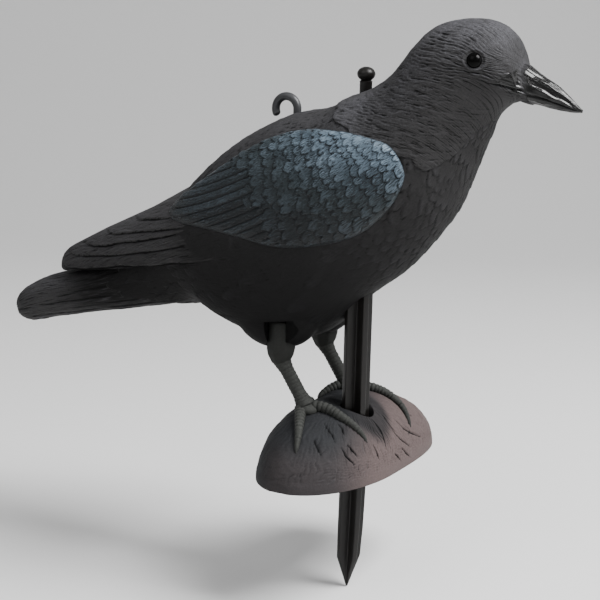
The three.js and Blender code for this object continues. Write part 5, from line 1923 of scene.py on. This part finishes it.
def add_light(name, place, aim, power, width, height):
    """A rectangular area light that faces the aim."""
    data = bpy.data.lights.new(name, "AREA")
    data.shape = "RECTANGLE"
    data.size, data.size_y = width, height
    data.energy = power
    light = bpy.data.objects.new(name, data)
    bpy.context.scene.collection.objects.link(light)
    light.location = place
    light.rotation_euler = (Vector(aim) - Vector(place)).to_track_quat("-Z", "Y").to_euler()


def add_floor(away, side):
    """A floor that sweeps up into a backdrop, away from the camera."""
    floor_z = -(STAKE_BELOW_MOUND + FLOOR_BELOW_STAKE) * MM
    profile = [(-FLOOR_TO_CAMERA, 0.0), (SWEEP_FROM, 0.0)]
    for k in np.linspace(0.1, math.pi / 2, 16):
        rise = SWEEP_RADIUS - SWEEP_RADIUS * math.cos(k)
        profile.append((SWEEP_FROM + SWEEP_RADIUS * math.sin(k), rise))
    profile.append((SWEEP_FROM + SWEEP_RADIUS, BACKDROP_HEIGHT))
    points, faces = [], []
    for i, (depth, rise) in enumerate(profile):
        for across in (-FLOOR_HALF_WIDTH, FLOOR_HALF_WIDTH):
            points.append(tuple(away * depth + side * across + Vector((0, 0, floor_z + rise))))
        if i:
            faces.append([2 * i - 2, 2 * i - 1, 2 * i + 1, 2 * i])
    mesh = bpy.data.meshes.new("floor")
    mesh.from_pydata(points, [], faces)
    shade_smooth(mesh)
    floor = bpy.data.objects.new("floor", mesh)
    bpy.context.scene.collection.objects.link(floor)
    material, _, shader = new_material("Pale floor")
    shader.inputs["Base Color"].default_value = rgba(colour_settings().floor)
    shader.inputs["Roughness"].default_value = 0.9
    mesh.materials.append(material)


class SCENE_OT_crow_stage(bpy.types.Operator):
    """Pale floor, soft light and the camera"""

    bl_idname = "scene.crow_stage"
    bl_label = "Stage"

    def execute(self, context):
        scene = context.scene
        s = scene.crow_stage
        az, el, roll = s.azimuth, s.elevation, s.roll
        back = Vector((math.sin(az) * math.cos(el), -math.cos(az) * math.cos(el), math.sin(el)))
        right = Vector((math.cos(az), math.sin(az), 0))
        up = back.cross(right)
        right_rolled = right * math.cos(roll) - up * math.sin(roll)
        up_rolled = up * math.cos(roll) + right * math.sin(roll)
        aim = Vector(s.aim)
        data = bpy.data.cameras.new("camera")
        data.lens, data.sensor_width, data.clip_start = LENS, SENSOR_WIDTH, NEAR_CLIP
        camera = bpy.data.objects.new("camera", data)
        scene.collection.objects.link(camera)
        turned = Matrix((right_rolled, up_rolled, back)).transposed()
        camera.matrix_world = Matrix.Translation(aim + back * s.distance) @ turned.to_4x4()
        scene.camera = camera
        add_floor(-Vector((back.x, back.y, 0)).normalized(), right.normalized())
        powers = (s.key_power, s.side_power, s.left_power)
        for power, (name, across, near, above, width, height) in zip(powers, LIGHTS):
            place = aim + right * across + back * near + Vector((0, 0, above))
            add_light(name, place, aim + LIGHTS_AIM, power, width, height)
        world = bpy.data.worlds.new("studio")
        world.use_nodes = True
        background = world.node_tree.nodes["Background"]
        background.inputs["Color"].default_value = (1, 1, 1, 1)
        background.inputs["Strength"].default_value = s.fill
        scene.world = world
        return {"FINISHED"}


PIECES = (
    MESH_OT_crow_torso,
    MESH_OT_crow_tail,
    MESH_OT_crow_head,
    MESH_OT_crow_beak,
    MESH_OT_crow_eyes,
    MESH_OT_crow_wing_pads,
    MESH_OT_crow_flight_feathers,
    MESH_OT_crow_mound,
    MESH_OT_crow_legs,
    MESH_OT_crow_stake,
    MESH_OT_crow_hook,
    SCENE_OT_crow_stage,
)


class VIEW3D_PT_crow(bpy.types.Panel):
    """Sizes, colours and pieces of the crow decoy"""

    bl_idname = "VIEW3D_PT_crow"
    bl_label = "Crow decoy"
    bl_space_type = "VIEW_3D"
    bl_region_type = "UI"
    bl_category = "Crow decoy"

    def draw(self, context):
        scene = context.scene
        for group in (scene.crow_relief, scene.crow_colours, scene.crow_stage):
            box = self.layout.box()
            for name in group.__annotations__:
                box.prop(group, name)
        for piece in PIECES:
            self.layout.operator(piece.bl_idname)


CLASSES = (CrowReliefSettings, CrowColourSettings, CrowStageSettings, *PIECES, VIEW3D_PT_crow)


def register():
    for cls in CLASSES:
        bpy.utils.register_class(cls)
    bpy.types.Scene.crow_relief = bpy.props.PointerProperty(type=CrowReliefSettings)
    bpy.types.Scene.crow_colours = bpy.props.PointerProperty(type=CrowColourSettings)
    bpy.types.Scene.crow_stage = bpy.props.PointerProperty(type=CrowStageSettings)


def unregister():
    del bpy.types.Scene.crow_stage
    del bpy.types.Scene.crow_colours
    del bpy.types.Scene.crow_relief
    for cls in reversed(CLASSES):
        bpy.utils.unregister_class(cls)


def main():
    register()
    for piece in PIECES:
        area, name = piece.bl_idname.split(".")
        getattr(getattr(bpy.ops, area), name)()
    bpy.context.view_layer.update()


if __name__ == "__main__":
    main()
